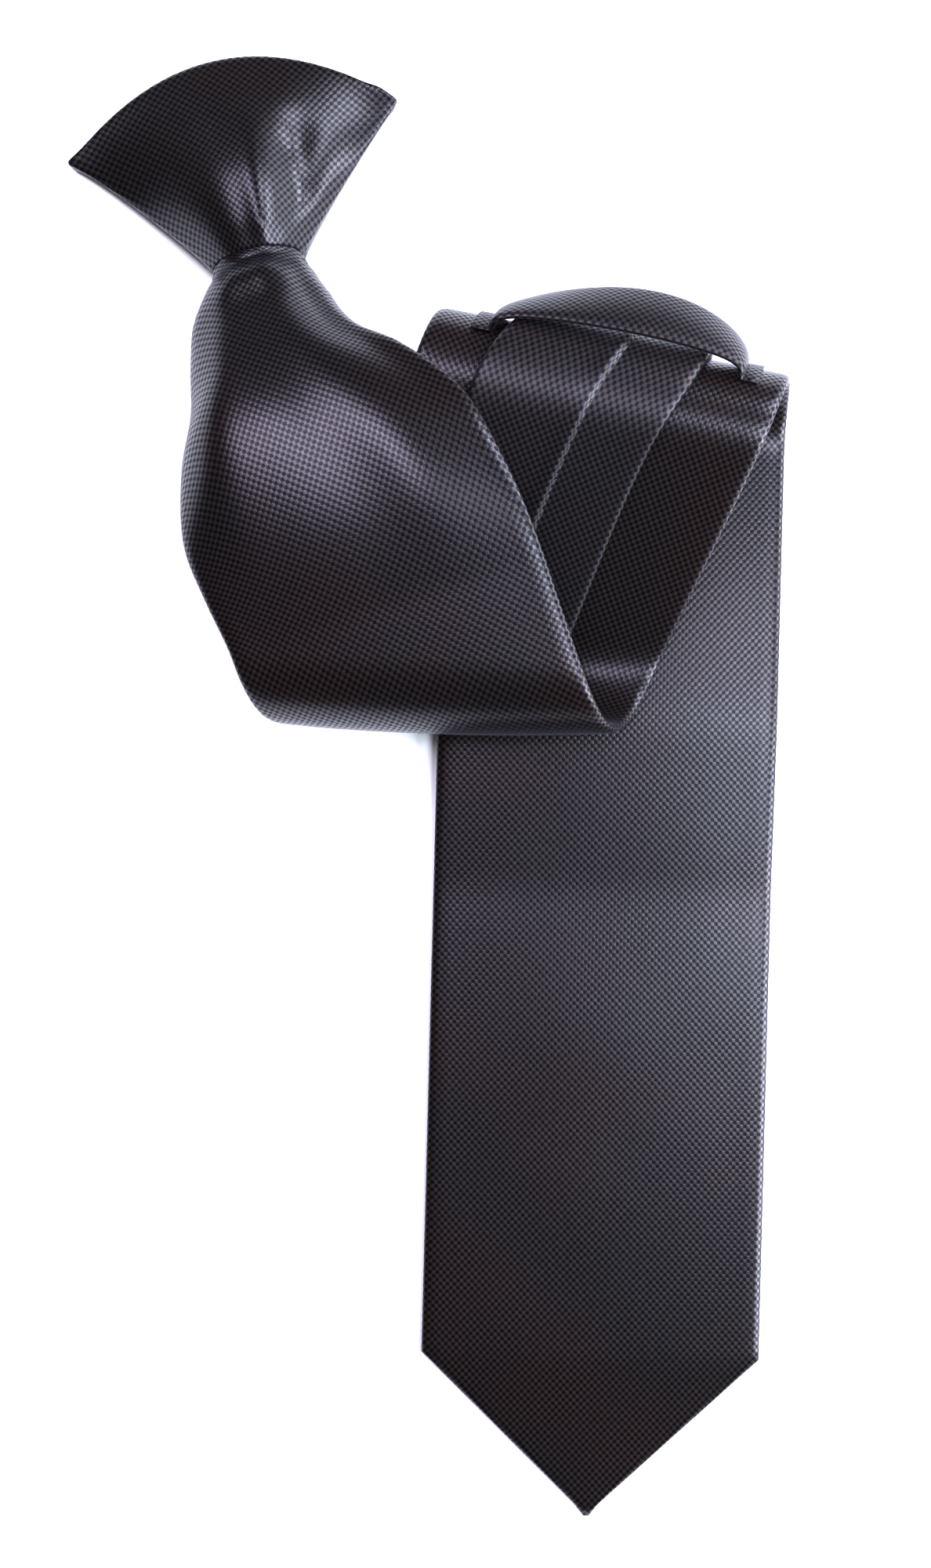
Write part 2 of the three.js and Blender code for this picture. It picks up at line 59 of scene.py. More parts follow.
# Blade, in metres and radians
BLADE_WIDTH = 82.5 * MM
BLADE_HALF = BLADE_WIDTH / 2
BLADE_THICKNESS = 2.4 * MM
TIP_DEPTH = 39 * MM
TIP_SHARE = 0.02
LAY_HEADING = math.radians(1.5)
LOWER_LENGTH = 266 * MM
MIDDLE_LENGTH = 57.5 * MM
FRONT_REACH = 91 * MM
NECK_INSERT = 12 * MM
NECK_APPROACH = 4 * MM
NECK_DIVE = 0.4
CURVE_HANDLE = 0.42
TOP_FOLD_RADIUS = 14.5 * MM
TOP_FOLD_TURN = math.radians(204)
TOP_FOLD_SKEW = math.radians(-9.5)
BOTTOM_FOLD_RADIUS = 14.5 * MM
BOTTOM_FOLD_TURN = math.radians(195)
BOTTOM_FOLD_SKEW = math.radians(-19.5)
ROLL_DEPTH = 6 * MM
ROLL_START = 0.6
LIFT_HEIGHT = 7 * MM
FRONT_CREASE_DEPTH = 1.2 * MM

# Tail
TAIL_WIDTH = 43 * MM
TAIL_HALF = TAIL_WIDTH / 2
TAIL_THICKNESS = 2 * MM
TAIL_LAP = 0.5 * MM
TAIL_SEAM_OFFSET = 4.5 * MM
TAIL_DRIFT = 7 * MM
TAIL_SLACK = 2 * MM
TAIL_MOUTH_SHARE = 0.88
TAIL_LENGTH = 315 * MM
TAIL_TIP_DEPTH = 20 * MM
LAY_GAP = 0.4 * MM

# Rise of the blade over the end of the tail
RISE_RADIUS = 120 * MM
RISE_TURN = math.radians(4)
RISE_MARGIN = 22 * MM

# Keeper
KEEPER_WIDTH = 15 * MM
KEEPER_THICKNESS = 1.4 * MM
KEEPER_SPAN = 55.8 * MM
KEEPER_SHIFT = 1.75 * MM
KEEPER_ARCH = 11.3 * MM
KEEPER_LEAN = 1.3
KEEPER_BULGE = 0.5
KEEPER_UPPER_ARCH = 4.9 * MM
KEEPER_UPPER_BULGE = 0.25
KEEPER_ANGLE = math.radians(118)
KEEPER_TAB = 5 * MM
KEEPER_TAB_THINNING = 0.4
SEAT_GAP = 0.35 * MM

# Knot
KNOT_WIDTH = 81 * MM
KNOT_LENGTH = 49.5 * MM
KNOT_WING_LINE = 34 * MM
KNOT_NECK_WIDTH = 23.4 * MM
KNOT_NECK_HEIGHT = 20 * MM
KNOT_WALL = 2.2 * MM
KNOT_FLARE = 1.12
KNOT_CREASE_DEPTH = 1.5 * MM
KNOT_TURN = math.radians(7.6)
KNOT_SWING = math.radians(-2.9)
MOUTH_CLEARANCE = 0.6 * MM
WING_EDGE = 4 * MM
TOP_EDGE_HEIGHT = 9.65 * MM
KNOT_SHEET_THICKNESS = KNOT_WALL * 0.6
# Share of its rectangle that the knot's cloth fills when it is flat
KNOT_SHEET_SHARE = 0.75

# Meshes: steps along and round the strips, and across and down the knot
ROW_STEP = 2.6 * MM
EDGE_STEPS = 7
SETTLE_ROUNDS = 3
TAIL_COLUMNS = 17
KEEPER_COLUMNS = 9
KEEPER_EDGE_STEPS = 4
KEEPER_STEPS = 72
KEEPER_TAB_PLACES = (0.33, 0.66, 1)
KEEPER_SLOPE_STEP = 0.004
KNOT_COLUMNS = 49
KNOT_ROWS = 36
KNOT_DROPS = 6
MERGE_DISTANCE = 0.01 * MM

# Camera: straight above, as the photograph's, with the photograph's scale at the table
PHOTO_WIDTH = 1188
PHOTO_HEIGHT = 2000
PHOTO_SCALE = 5.21 / MM
PHOTO_TIP = (747, 1930)
CAMERA_HEIGHT = 450 * MM
SENSOR_MM = 36

Fold = namedtuple("Fold", "at radius turn skew")
Spot = namedtuple("Spot", "share face angle side")
Row = namedtuple("Row", "along skew")

rise_height = LAY_GAP + TAIL_THICKNESS + TAIL_LAP
rise_arc = RISE_RADIUS * RISE_TURN
rise_straight = (rise_height - 2 * RISE_RADIUS * (1 - math.cos(RISE_TURN))) / math.sin(RISE_TURN)
top_fold_run = TOP_FOLD_RADIUS * TOP_FOLD_TURN / math.cos(TOP_FOLD_SKEW)
bottom_fold_start = LOWER_LENGTH + top_fold_run + MIDDLE_LENGTH
bottom_fold_run = BOTTOM_FOLD_RADIUS * BOTTOM_FOLD_TURN / math.cos(BOTTOM_FOLD_SKEW)
folds_end = bottom_fold_start + bottom_fold_run + BLADE_HALF * math.tan(abs(BOTTOM_FOLD_SKEW))


def clamp(value, low=0.0, high=1.0):
    return max(low, min(high, value))


def smooth(value, low, high):
    t = clamp((value - low) / (high - low))
    return t * t * (3 - 2 * t)


def turn_z(vector, angle):
    return Matrix.Rotation(angle, 3, "Z") @ vector


def fold_table(rise_end):
    level_at = rise_end - rise_arc
    rise_at = level_at - rise_straight - rise_arc
    return [
        Fold(rise_at, RISE_RADIUS, RISE_TURN, 0),
        Fold(level_at, RISE_RADIUS, -RISE_TURN, 0),
        Fold(LOWER_LENGTH, TOP_FOLD_RADIUS, TOP_FOLD_TURN, TOP_FOLD_SKEW),
        Fold(bottom_fold_start, BOTTOM_FOLD_RADIUS, -BOTTOM_FOLD_TURN, BOTTOM_FOLD_SKEW),
    ]


def past_fold(x, y, fold):
    """Distance of a place on the flat cloth past a fold's first line."""
    return (y - fold.at) * math.cos(fold.skew) - x * math.sin(fold.skew)


def bend(point, fold, beyond):
    """Carries a point round one fold. What lies beyond the whole fold turns with its end."""
    radius = math.copysign(fold.radius, fold.turn)
    length = radius * fold.turn
    ahead = past_fold(point.x, point.y, fold)
    beside = point.x * math.cos(fold.skew) + (point.y - fold.at) * math.sin(fold.skew)
    curved = length if beyond else min(ahead, length)
    angle = curved / radius
    out = (radius - point.z) * math.sin(angle) + (ahead - curved) * math.cos(angle)
    height = radius - (radius - point.z) * math.cos(angle) + (ahead - curved) * math.sin(angle)
    x = beside * math.cos(fold.skew) - out * math.sin(fold.skew)
    y = fold.at + beside * math.sin(fold.skew) + out * math.cos(fold.skew)
    return Vector((x, y, height))


def folded_point(folds, across, along, height):
    point = Vector((across, along, height))
    beyond = False
    for fold in reversed(folds):
        if beyond or past_fold(across, along, fold) > 0:
            point = bend(point, fold, beyond)
            beyond = True
    point = turn_z(point, -LAY_HEADING)
    point.z += BLADE_THICKNESS / 2
    return point


def table_value(rows, column, x):
    """Value of one column at a place in a table, on a smooth curve through its rows."""
    last = len(rows) - 1
    i = 0
    while i < last - 1 and x > rows[i + 1][0]:
        i += 1
    a, b, c, d = rows[max(i - 1, 0)], rows[i], rows[i + 1], rows[min(i + 2, last)]
    span = c[0] - b[0]
    t = clamp((x - b[0]) / span)
    slope_b = (c[column] - a[column]) / (c[0] - a[0]) * span
    slope_c = (d[column] - b[column]) / (d[0] - b[0]) * span
    ends = (2 * t**3 - 3 * t**2 + 1) * b[column] + (3 * t**2 - 2 * t**3) * c[column]
    return ends + (t**3 - 2 * t**2 + t) * slope_b + (t**3 - t**2) * slope_c


def fade_ends(t, start, end):
    return min(1, t / start, (1 - t) / end)


def crease_height(creases, x, y):
    """Soft ridges and dents, each from one place to another."""
    total = 0
    for from_x, from_y, to_x, to_y, height, breadth in creases:
        dx, dy = to_x - from_x, to_y - from_y
        near = clamp(((x - from_x) * dx + (y - from_y) * dy) / (dx * dx + dy * dy))
        off_x, off_y = x - from_x - near * dx, y - from_y - near * dy
        total += height * math.exp(-(off_x * off_x + off_y * off_y) / (breadth * breadth))
    return total


# Knot: along, then shares of the neck's height at the centre and the side, and the power of its round
KNOT_PROFILE = [
    (0, 1, 0.5, 2.5),
    (0.2, 1.08, 0.4, 2.3),
    (0.45, 1.04, 0.3, 2),
    (0.7, 0.84, 0.24, 1.9),
    (0.88, 0.64, 0.2, 1.9),
    (1, TOP_EDGE_HEIGHT / KNOT_NECK_HEIGHT, WING_EDGE / KNOT_NECK_HEIGHT, 2),
]
# Creases: from x and y, to x and y, height as a share of the deepest, breadth
KNOT_CREASES = [
    (0.22, 0.05, 0.16, 0.62, 0.8, 0.17),
    (0.62, 0.34, 0.5, 0.56, -1.7, 0.17),
]
# Shares over which the creases fade out towards the knot's mouth, top and sides
KNOT_FADE_MOUTH = 0.12
KNOT_FADE_TOP = 0.125
KNOT_FADE_SIDE = 0.2
neck_half = KNOT_NECK_WIDTH / 2


def knot_plan(u, v):
    half = neck_half + (KNOT_WIDTH / 2 - neck_half) * v**KNOT_FLARE
    rise = (KNOT_LENGTH - KNOT_WING_LINE) * (1 - u * u) * v * v
    return u * half, KNOT_WING_LINE * v + rise


def knot_height(u, v):
    centre = table_value(KNOT_PROFILE, 1, v) * KNOT_NECK_HEIGHT
    side = table_value(KNOT_PROFILE, 2, v) * KNOT_NECK_HEIGHT
    rounding = 1 - abs(u) ** table_value(KNOT_PROFILE, 3, v)
    fade = fade_ends(v, KNOT_FADE_MOUTH, KNOT_FADE_TOP) * min(1, (1 - abs(u)) / KNOT_FADE_SIDE)
    crease = KNOT_CREASE_DEPTH * crease_height(KNOT_CREASES, u, v) * fade
    return side + (centre - side) * rounding + crease


def mouth_ceiling(x):
    return knot_height(x / neck_half, 0) - KNOT_WALL


mouth_half = neck_half - KNOT_WALL - MOUTH_CLEARANCE
mouth_crown = mouth_ceiling(0) - mouth_ceiling(mouth_half)
strip_level = mouth_ceiling(mouth_half) - MOUTH_CLEARANCE - BLADE_THICKNESS / 2


class FrontCurve:
    """Free curve from the folds to the knot, read by its share of the length."""

    STEPS = 200

    def __init__(self, *corners):
        self.corners = corners
        marks = [self.raw(i / self.STEPS) for i in range(self.STEPS + 1)]
        self.lengths = [0]
        for before, after in zip(marks, marks[1:]):
            self.lengths.append(self.lengths[-1] + (after - before).length)
        self.length = self.lengths[-1]

    def raw(self, t):
        a, b, c, d = self.corners
        s = 1 - t
        return a * s**3 + b * (3 * s * s * t) + c * (3 * s * t * t) + d * t**3

    def slope(self, t):
        a, b, c, d = self.corners
        s = 1 - t
        return ((b - a) * (s * s) + (c - b) * (2 * s * t) + (d - c) * (t * t)).normalized()

    def even(self, share):
        """The curve's own measure at a share of its length."""
        wanted = share * self.length
        i = 0
        while i < self.STEPS - 1 and self.lengths[i + 1] < wanted:
            i += 1
        part = (wanted - self.lengths[i]) / (self.lengths[i + 1] - self.lengths[i])
        return (i + part) / self.STEPS


class TieSurface:
    """Surface of the blade in the frame: the folds, then a free curve to the knot."""

    def __init__(self):
        draft = fold_table(LOWER_LENGTH)
        origin = folded_point(draft, 0, folds_end, 0)
        ahead = folded_point(draft, 0, folds_end + MM, 0) - origin
        self.side = (folded_point(draft, MM, folds_end, 0) - origin) / MM
        heading = math.atan2(ahead.x, ahead.y)
        neck = origin + turn_z(Vector((0, FRONT_REACH, 0)), -(heading + KNOT_SWING))
        neck.z = 0
        self.heading = -(heading + KNOT_TURN)
        self.axis = turn_z(Vector((0, 1, 0)), self.heading)
        self.right = turn_z(Vector((1, 0, 0)), self.heading)
        mouth = neck - self.axis * NECK_APPROACH
        mouth.z = strip_level
        handle = FRONT_REACH * CURVE_HANDLE
        dive = (self.axis + Vector((0, 0, -NECK_DIVE))).normalized()
        self.curve = FrontCurve(origin, origin + ahead / MM * handle, mouth - dive * handle, mouth)
        self.front_length = self.curve.length
        self.neck_at = folds_end + self.front_length
        self.strip_end = self.neck_at + NECK_APPROACH + NECK_INSERT
        self.tail_end = self.neck_at - TAIL_LENGTH
        self.folds = fold_table(self.tail_end - RISE_MARGIN)
        wing = neck + turn_z(Vector((-KNOT_WIDTH / 2, KNOT_WING_LINE, 0)), self.heading)
        tip_y = -BLADE_HALF * TIP_SHARE * math.sin(LAY_HEADING)
        self.shift = Vector((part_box("knot")[0].x - wing.x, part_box("blade")[0].y - tip_y, 0))
        self.neck = neck + self.shift

    def point(self, across, along, height):
        if along <= folds_end:
            return folded_point(self.folds, across, along, height) + self.shift
        share = min((along - folds_end) / self.front_length, 1)
        over = max(along - self.neck_at, 0)
        t = self.curve.even(share)
        place = self.curve.raw(t) + self.axis * over
        tangent = self.curve.slope(t).lerp(self.axis, min(1, over / NECK_APPROACH)).normalized()
        beside = self.side.lerp(self.right, share * share * (3 - 2 * share))
        beside = (beside - tangent * beside.dot(tangent)).normalized()
        normal = beside.cross(tangent)
        return place + beside * across + normal * height + self.shift

    def knot_point(self, x, y, z):
        return self.neck + turn_z(Vector((x, y, z)), self.heading)

    def front_share(self, along):
        return clamp((along - folds_end) / self.front_length)


surface = TieSurface()

# Arch of the front's cloth over the folds: its height, its places along the front, and its crest across it,
# which is shifted to the right near the fold
FOLD_ARCH = 3.5 * MM
FOLD_ARCH_AT = 0.5
FOLD_ARCH_END = 0.95
FOLD_ARCH_CREST = -0.1
FOLD_ARCH_SHIFT = 0.6
FOLD_ARCH_SHIFT_START = 0.1
FOLD_ARCH_SHIFT_END = 0.6
# Arch of the cloth below the knot
NECK_ARCH = 2 * MM
NECK_ARCH_AT = 0.93
NECK_ARCH_REACH = 0.06
# Cloth gathered just below the knot
MOUTH_SWELL = 3 * MM
MOUTH_SWELL_REACH = 5 * MM

# Front stretch: along, left and right width, crown, roll, lift and tail's width
FRONT_SECTIONS = [
    (0, 0.92, 0.84, 0, 0, 0, 1),
    (0.2, 0.95, 0.82, 0.25, 0.1, 0.2, 1),
    (0.38, 0.92, 0.76, 0.5, 0.5, 0.7, 0.9),
    (0.57, 0.71, 0.52, 0.9, 1, 1, 0.5),
    (0.69, 0.49, 0.32, 1.15, 0.8, 0.8, 0.35),
    (0.81, 0.37, 0.24, 1.3, 0.4, 0.3, 0.2),
    (0.91, 0.26, 0.18, 1.25, 0.1, 0, 0.1),
    (1, 0, 0, 1, 0, 0, 0),
]
LEFT, RIGHT, CROWN, ROLL, LIFT, TAIL = range(1, 7)
FRONT_CREASES = [
    (0.05, 0.95, 0.45, 0.35, 0.9, 0.22),
    (0.6, 0.92, 0.85, 0.5, -1, 0.16),
    (-0.45, 0.9, -0.6, 0.55, 0.65, 0.18),
]
# Shares over which the creases fade out towards the fold and the knot
FRONT_FADE_FOLD = 0.17
FRONT_FADE_NECK = 0.1
# Share of the front over which its rows turn square
SKEW_FADE = 0.5
# Tail's route: along, drift beside the blade's middle, slack off its back
TAIL_ROUTE = [
    (surface.tail_end, -0.3, 0),
    (LOWER_LENGTH, 0, 0),
    (LOWER_LENGTH + top_fold_run * 0.6, 0.05, 0.5),
    (LOWER_LENGTH + top_fold_run, -0.7, 0.4),
    (bottom_fold_start, -0.85, 0.2),
    (bottom_fold_start + bottom_fold_run / 2, -1, 1),
    (folds_end, -0.85, 0.4),
    (folds_end + surface.front_length / 2, -0.43, 0.25),
    (surface.neck_at, 0, 0),
    (surface.strip_end, 0, 0),
]
DRIFT, SLACK = 1, 2
tail_mouth_half = mouth_half * TAIL_MOUTH_SHARE


def blade_half_width(along, side):
    column = LEFT if side < 0 else RIGHT
    if along < TIP_DEPTH:
        return BLADE_HALF * max(along / TIP_DEPTH, TIP_SHARE)
    if along >= folds_end:
        share = table_value(FRONT_SECTIONS, column, surface.front_share(along))
        swell = MOUTH_SWELL * math.exp(-(((along - surface.neck_at) / MOUTH_SWELL_REACH) ** 2))
        return mouth_half + (BLADE_HALF - mouth_half) * share + swell
    last = mouth_half + (BLADE_HALF - mouth_half) * FRONT_SECTIONS[0][column]
    return BLADE_HALF + (last - BLADE_HALF) * smooth(along, LOWER_LENGTH, folds_end)


def blade_width(along):
    return blade_half_width(along, -1) + blade_half_width(along, 1)


def tail_half_width(along):
    share = table_value(FRONT_SECTIONS, TAIL, surface.front_share(along))
    half = tail_mouth_half + (TAIL_HALF - tail_mouth_half) * share
    return half * clamp((along - surface.tail_end) / TAIL_TIP_DEPTH, 2 * TIP_SHARE)


def blade_relief(share, along):
    """Height of the front stretch over its own middle line."""
    t = surface.front_share(along)
    arch = (mouth_ceiling(share * mouth_half) - mouth_ceiling(mouth_half)) / mouth_crown
    crown = table_value(FRONT_SECTIONS, CROWN, t) * mouth_crown * arch
    edge = max(0, (-share - ROLL_START) / (1 - ROLL_START))
    roll = table_value(FRONT_SECTIONS, ROLL, t) * ROLL_DEPTH * edge * edge
    lift = table_value(FRONT_SECTIONS, LIFT, t) * LIFT_HEIGHT * max(0, share) ** 2
    creases = FRONT_CREASE_DEPTH * crease_height(FRONT_CREASES, share, t)
    fade = fade_ends(t, FRONT_FADE_FOLD, FRONT_FADE_NECK)
    return crown - roll + lift + creases * fade + front_arch(share, t)


def front_arch(share, t):
    """Arches of the front over the folds and below the knot."""
    crest = FOLD_ARCH_CREST + FOLD_ARCH_SHIFT * smooth(t, FOLD_ARCH_SHIFT_END, FOLD_ARCH_SHIFT_START)
    side = 1 if share > crest else -1
    off_crest = (share - crest) / (1 - side * crest)
    over_folds = FOLD_ARCH * (1 - off_crest * off_crest)
    over_folds = over_folds * smooth(t, 0, FOLD_ARCH_AT) * smooth(t, FOLD_ARCH_END, FOLD_ARCH_AT)
    off_neck = (t - NECK_ARCH_AT) / NECK_ARCH_REACH
    over_neck = NECK_ARCH * (1 - share * share) * math.exp(-(off_neck**2))
    return over_folds + over_neck


# Size of the cloth's ripples in metres, and their share on the tail's back
RIPPLE_SIZE = 0.03
TAIL_RIPPLE = 0.5
# Places in the noise that the blade and the tail read
BLADE_SEED = 1.5
TAIL_SEED = 7.5


def ripple(across, along, seed):
    """Unevenness of laid cloth, from -1 to 1."""
    return noise.noise(Vector((across / RIPPLE_SIZE, along / RIPPLE_SIZE, seed)))


# Strips of cloth


# Reach of a strip's rounded edge, as a share of its thickness
EDGE_SOFTNESS = 0.85


def ring_spots(shares, seam=0, edge_steps=EDGE_STEPS):
    """A strip's ring from a seam on its back, round the left edge, over the face and back on the right."""
    falling = sorted(shares, reverse=True)
    spots = [Spot(share, -1, None, -1) for share in falling if share <= seam]
    for i in range(1, edge_steps):
        spots.append(Spot(-1, 0, -math.pi / 2 + math.pi * i / edge_steps, -1))
    spots += [Spot(share, 1, None, 0) for share in sorted(shares)]
    for i in range(1, edge_steps):
        spots.append(Spot(1, 0, math.pi / 2 - math.pi * i / edge_steps, 1))
    spots += [Spot(share, -1, None, 1) for share in falling if share > seam]
    return spots


def section(spot, half, thickness):
    """Place across a strip, height off its middle, and length of cloth from the middle of its face."""
    radius = min(thickness / 2, half / 2)
    reach = min(thickness * EDGE_SOFTNESS, half / 2)
    girth = math.pi * (radius + reach) / 2
    flat = half - reach
    if spot.angle is None:
        x = spot.share * flat
        back = spot.side * (2 * flat + girth) - x
        return x, spot.face * radius, x if spot.face > 0 else back
    x = spot.share * (flat + reach * math.cos(spot.angle))
    round_edge = spot.share * (flat + girth * (0.5 - spot.angle / math.pi))
    return x, radius * math.sin(spot.angle), round_edge


def even_shares(count):
    return [2 * i / (count - 1) - 1 for i in range(count)]


SKEW_ROWS = [
    (0, 0),
    (surface.folds[1].at + rise_arc, 0),
    (LOWER_LENGTH, TOP_FOLD_SKEW),
    (LOWER_LENGTH + top_fold_run, TOP_FOLD_SKEW),
    (bottom_fold_start, BOTTOM_FOLD_SKEW),
    (bottom_fold_start + bottom_fold_run, BOTTOM_FOLD_SKEW),
]


def row_skew(along):
    """Slant of a row of the mesh, which keeps along each fold's line."""
    if along >= folds_end:
        return BOTTOM_FOLD_SKEW * (1 - smooth(surface.front_share(along), 0, SKEW_FADE))
    for (start, low), (end, high) in zip(SKEW_ROWS, SKEW_ROWS[1:]):
        if along <= end:
            return low + (high - low) * (along - start) / (end - start)
    return BOTTOM_FOLD_SKEW


def strip_rows(start):
    """Rows from one place to the strip's end, with a row at each place where the shape changes."""
    marks = [start, TIP_DEPTH, surface.tail_end + TAIL_TIP_DEPTH, LOWER_LENGTH]
    marks += [LOWER_LENGTH + top_fold_run, bottom_fold_start, bottom_fold_start + bottom_fold_run]
    marks += [folds_end, surface.neck_at, surface.strip_end]
    marks = sorted(mark for mark in marks if mark >= start)
    rows = []
    for low, high in zip(marks, marks[1:]):
        count = max(1, round((high - low) / ROW_STEP))
        rows += [low + (high - low) * i / count for i in range(count)]
    return [Row(along, row_skew(along)) for along in rows + [marks[-1]]]


def new_object(name, bm, smooth_shading=True):
    mesh = bpy.data.meshes.new(name)
    bm.normal_update()
    bm.to_mesh(mesh)
    bm.free()
    if smooth_shading:
        mesh.shade_smooth()
    piece = bpy.data.objects.new(name, mesh)
    bpy.context.scene.collection.objects.link(piece)
    return piece


def loft(name, rings):
    """Closed skin through rings of (point, u, v). The texture's seam is where each ring starts."""
    bm = bmesh.new()
    uv_layer = bm.loops.layers.uv.new(UV_NAME)
    verts = [[bm.verts.new(point) for point, _, _ in ring] for ring in rings]
    count = len(rings[0])
    for i in range(len(rings) - 1):
        for j in range(count):
            k = (j + 1) % count
            corners = [(i, j), (i, k), (i + 1, k), (i + 1, j)]
            face = bm.faces.new([verts[a][b] for a, b in corners])
            for loop, (a, b) in zip(face.loops, corners):
                place, u, v = rings[a][b]
                if k == 0 and b == 0:
                    last, last_u, _ = rings[a][j]
                    u = last_u + (place - last).length
                loop[uv_layer].uv = (u, v)
    for ring, points in ((verts[0], rings[0]), (verts[-1], rings[-1])):
        face = bm.faces.new(ring)
        for loop, (_, u, v) in zip(face.loops, points):
            loop[uv_layer].uv = (u, v)
    bmesh.ops.recalc_face_normals(bm, faces=bm.faces)
    return new_object(name, bm)


def strip_ring(row, spots, place):
    """One ring of a strip, settled on the row's slanted line."""
    slope = math.tan(row.skew)
    ring = []
    for spot in spots:
        across, height, u = place(spot, row.along)
        for _ in range(SETTLE_ROUNDS):
            across, height, u = place(spot, row.along + across * slope)
        along = row.along + across * slope
        ring.append((surface.point(across, along, height), u, along))
    return ring


def blade_place(spot, along):
    settings = bpy.context.scene.tie_cloth
    half = blade_half_width(along, spot.share)
    x, height, u = section(spot, half, BLADE_THICKNESS)
    share = x / half
    if spot.face > 0:
        height += settings.ripple_height * ripple(x, along, BLADE_SEED) * (1 - share**4)
        height += settings.blade_crown * (1 - share * share) * clamp(along / TIP_DEPTH)
    if spot.face < 0:
        groove = math.exp(-((x / settings.seam_groove_width) ** 2))
        height += settings.seam_groove_depth * groove
    return x, height + blade_relief(share, along), u


# The tail's rolled seam: rolls before it over which the cloth rises, and the power of its round
SEAM_RISE = 3
SEAM_ROUND = 1.5


def tail_place(spot, along):
    settings = bpy.context.scene.tie_cloth
    half = tail_half_width(along)
    x, height, u = section(spot, half, TAIL_THICKNESS)
    seam = TAIL_SEAM_OFFSET * half / TAIL_HALF
    drift = TAIL_DRIFT * table_value(TAIL_ROUTE, DRIFT, along)
    slack = TAIL_SLACK * table_value(TAIL_ROUTE, SLACK, along)
    drop = (BLADE_THICKNESS + TAIL_THICKNESS) / 2 + LAY_GAP + slack
    if spot.face < 0:
        loose = smooth(along, LOWER_LENGTH, LOWER_LENGTH + RISE_MARGIN)
        height -= settings.ripple_height * TAIL_RIPPLE * ripple(x, along, TAIL_SEED) * loose
        if x < seam:
            near = (x - seam) / settings.seam_roll + 1
            edge = clamp(near)
            raised = settings.seam_height * smooth(near, -SEAM_RISE, 0) * loose
            flap = TAIL_LAP * (x + half) / (seam + half) + raised
            height -= flap * (1 - edge**SEAM_ROUND)
    return drift + x, height - drop, u


def keeper_path(t, upper):
    """Path of the band's inside: 0 is its lower edge, which hangs free, and 1 the upper one, by the tail."""
    x = KEEPER_SHIFT + (t - 0.5) * KEEPER_SPAN
    free = max(0, math.sin(math.pi * clamp(t) ** KEEPER_LEAN)) ** KEEPER_BULGE
    close = max(0, math.sin(math.pi * clamp(t))) ** KEEPER_UPPER_BULGE
    arch = KEEPER_ARCH * free * (1 - upper) + KEEPER_UPPER_ARCH * close * upper
    return Vector((x, SEAT_GAP + arch))


def keeper_rings():
    """Rings of the band, from its left sewn end to its right one."""
    tab = [KEEPER_TAB / KEEPER_SPAN * part for part in KEEPER_TAB_PLACES]
    places = [-part for part in reversed(tab)]
    places += [(1 - math.cos(math.pi * i / KEEPER_STEPS)) / 2 for i in range(KEEPER_STEPS + 1)]
    places += [1 + part for part in tab]
    centre = LOWER_LENGTH + top_fold_run * KEEPER_ANGLE / TOP_FOLD_TURN
    spots = ring_spots(even_shares(KEEPER_COLUMNS), edge_steps=KEEPER_EDGE_STEPS)
    rings = []
    length = 0
    before = keeper_path(places[0], 0.5)
    step = KEEPER_SLOPE_STEP
    for t in places:
        middle = keeper_path(t, 0.5)
        length += (middle - before).length
        before = middle
        thickness = KEEPER_THICKNESS * (KEEPER_TAB_THINNING if t < 0 or t > 1 else 1)
        ring = []
        for spot in spots:
            band, thick, u = section(spot, KEEPER_WIDTH / 2, thickness)
            upper = 0.5 + band / KEEPER_WIDTH
            slope = (keeper_path(t + step, upper) - keeper_path(t - step, upper)).normalized()
            off = keeper_path(t, upper) + Vector((-slope.y, slope.x)) * (thick + thickness / 2)
            lift = BLADE_THICKNESS / 2 + off.y
            along = centre + off.x * math.tan(TOP_FOLD_SKEW)
            along += band * TOP_FOLD_RADIUS / (TOP_FOLD_RADIUS + lift)
            ring.append((surface.point(off.x, along, -lift), u, length))
        rings.append(ring)
    return rings


# Knot: a shell of cloth, open at its back and its mouth

# Curl of its edge to the inside, and the power that keeps it at the edges
KNOT_CURL = 1.6 * MM
KNOT_EDGE_POWER = 8
# Small point on the right of the top edge: height, place, breadth and power
KNOT_NUB = 0.9 * MM
KNOT_NUB_AT = 0.9
KNOT_NUB_BREADTH = 0.035
KNOT_NUB_POWER = 20
# Left wing's tip, drawn out
KNOT_TIP = 1.5 * MM
KNOT_TIP_POWER = 24
# Height of the sides' lower edges over the table
KNOT_LOWEST = 0.3 * MM
# The weave's even width on each side of the knot's middle is the knot's width over this
KNOT_WEAVE_PART = 3


def knot_shell_point(u, v, drop):
    """Place on the knot's outer skin. Drop runs from 0 at the edge of its face to 1 at the table."""
    x, y = knot_plan(u, v)
    height = knot_height(u, v)
    inward = KNOT_CURL * drop * drop
    x -= math.copysign(inward, u) * abs(u) ** KNOT_EDGE_POWER
    x -= KNOT_TIP * clamp(-u) ** KNOT_TIP_POWER * v**KNOT_EDGE_POWER
    y -= inward * v**KNOT_EDGE_POWER
    off_nub = (u - KNOT_NUB_AT) / KNOT_NUB_BREADTH
    y += KNOT_NUB * math.exp(-(off_nub**2)) * v**KNOT_NUB_POWER
    return surface.knot_point(x, y, KNOT_LOWEST + (height - KNOT_LOWEST) * (1 - drop))


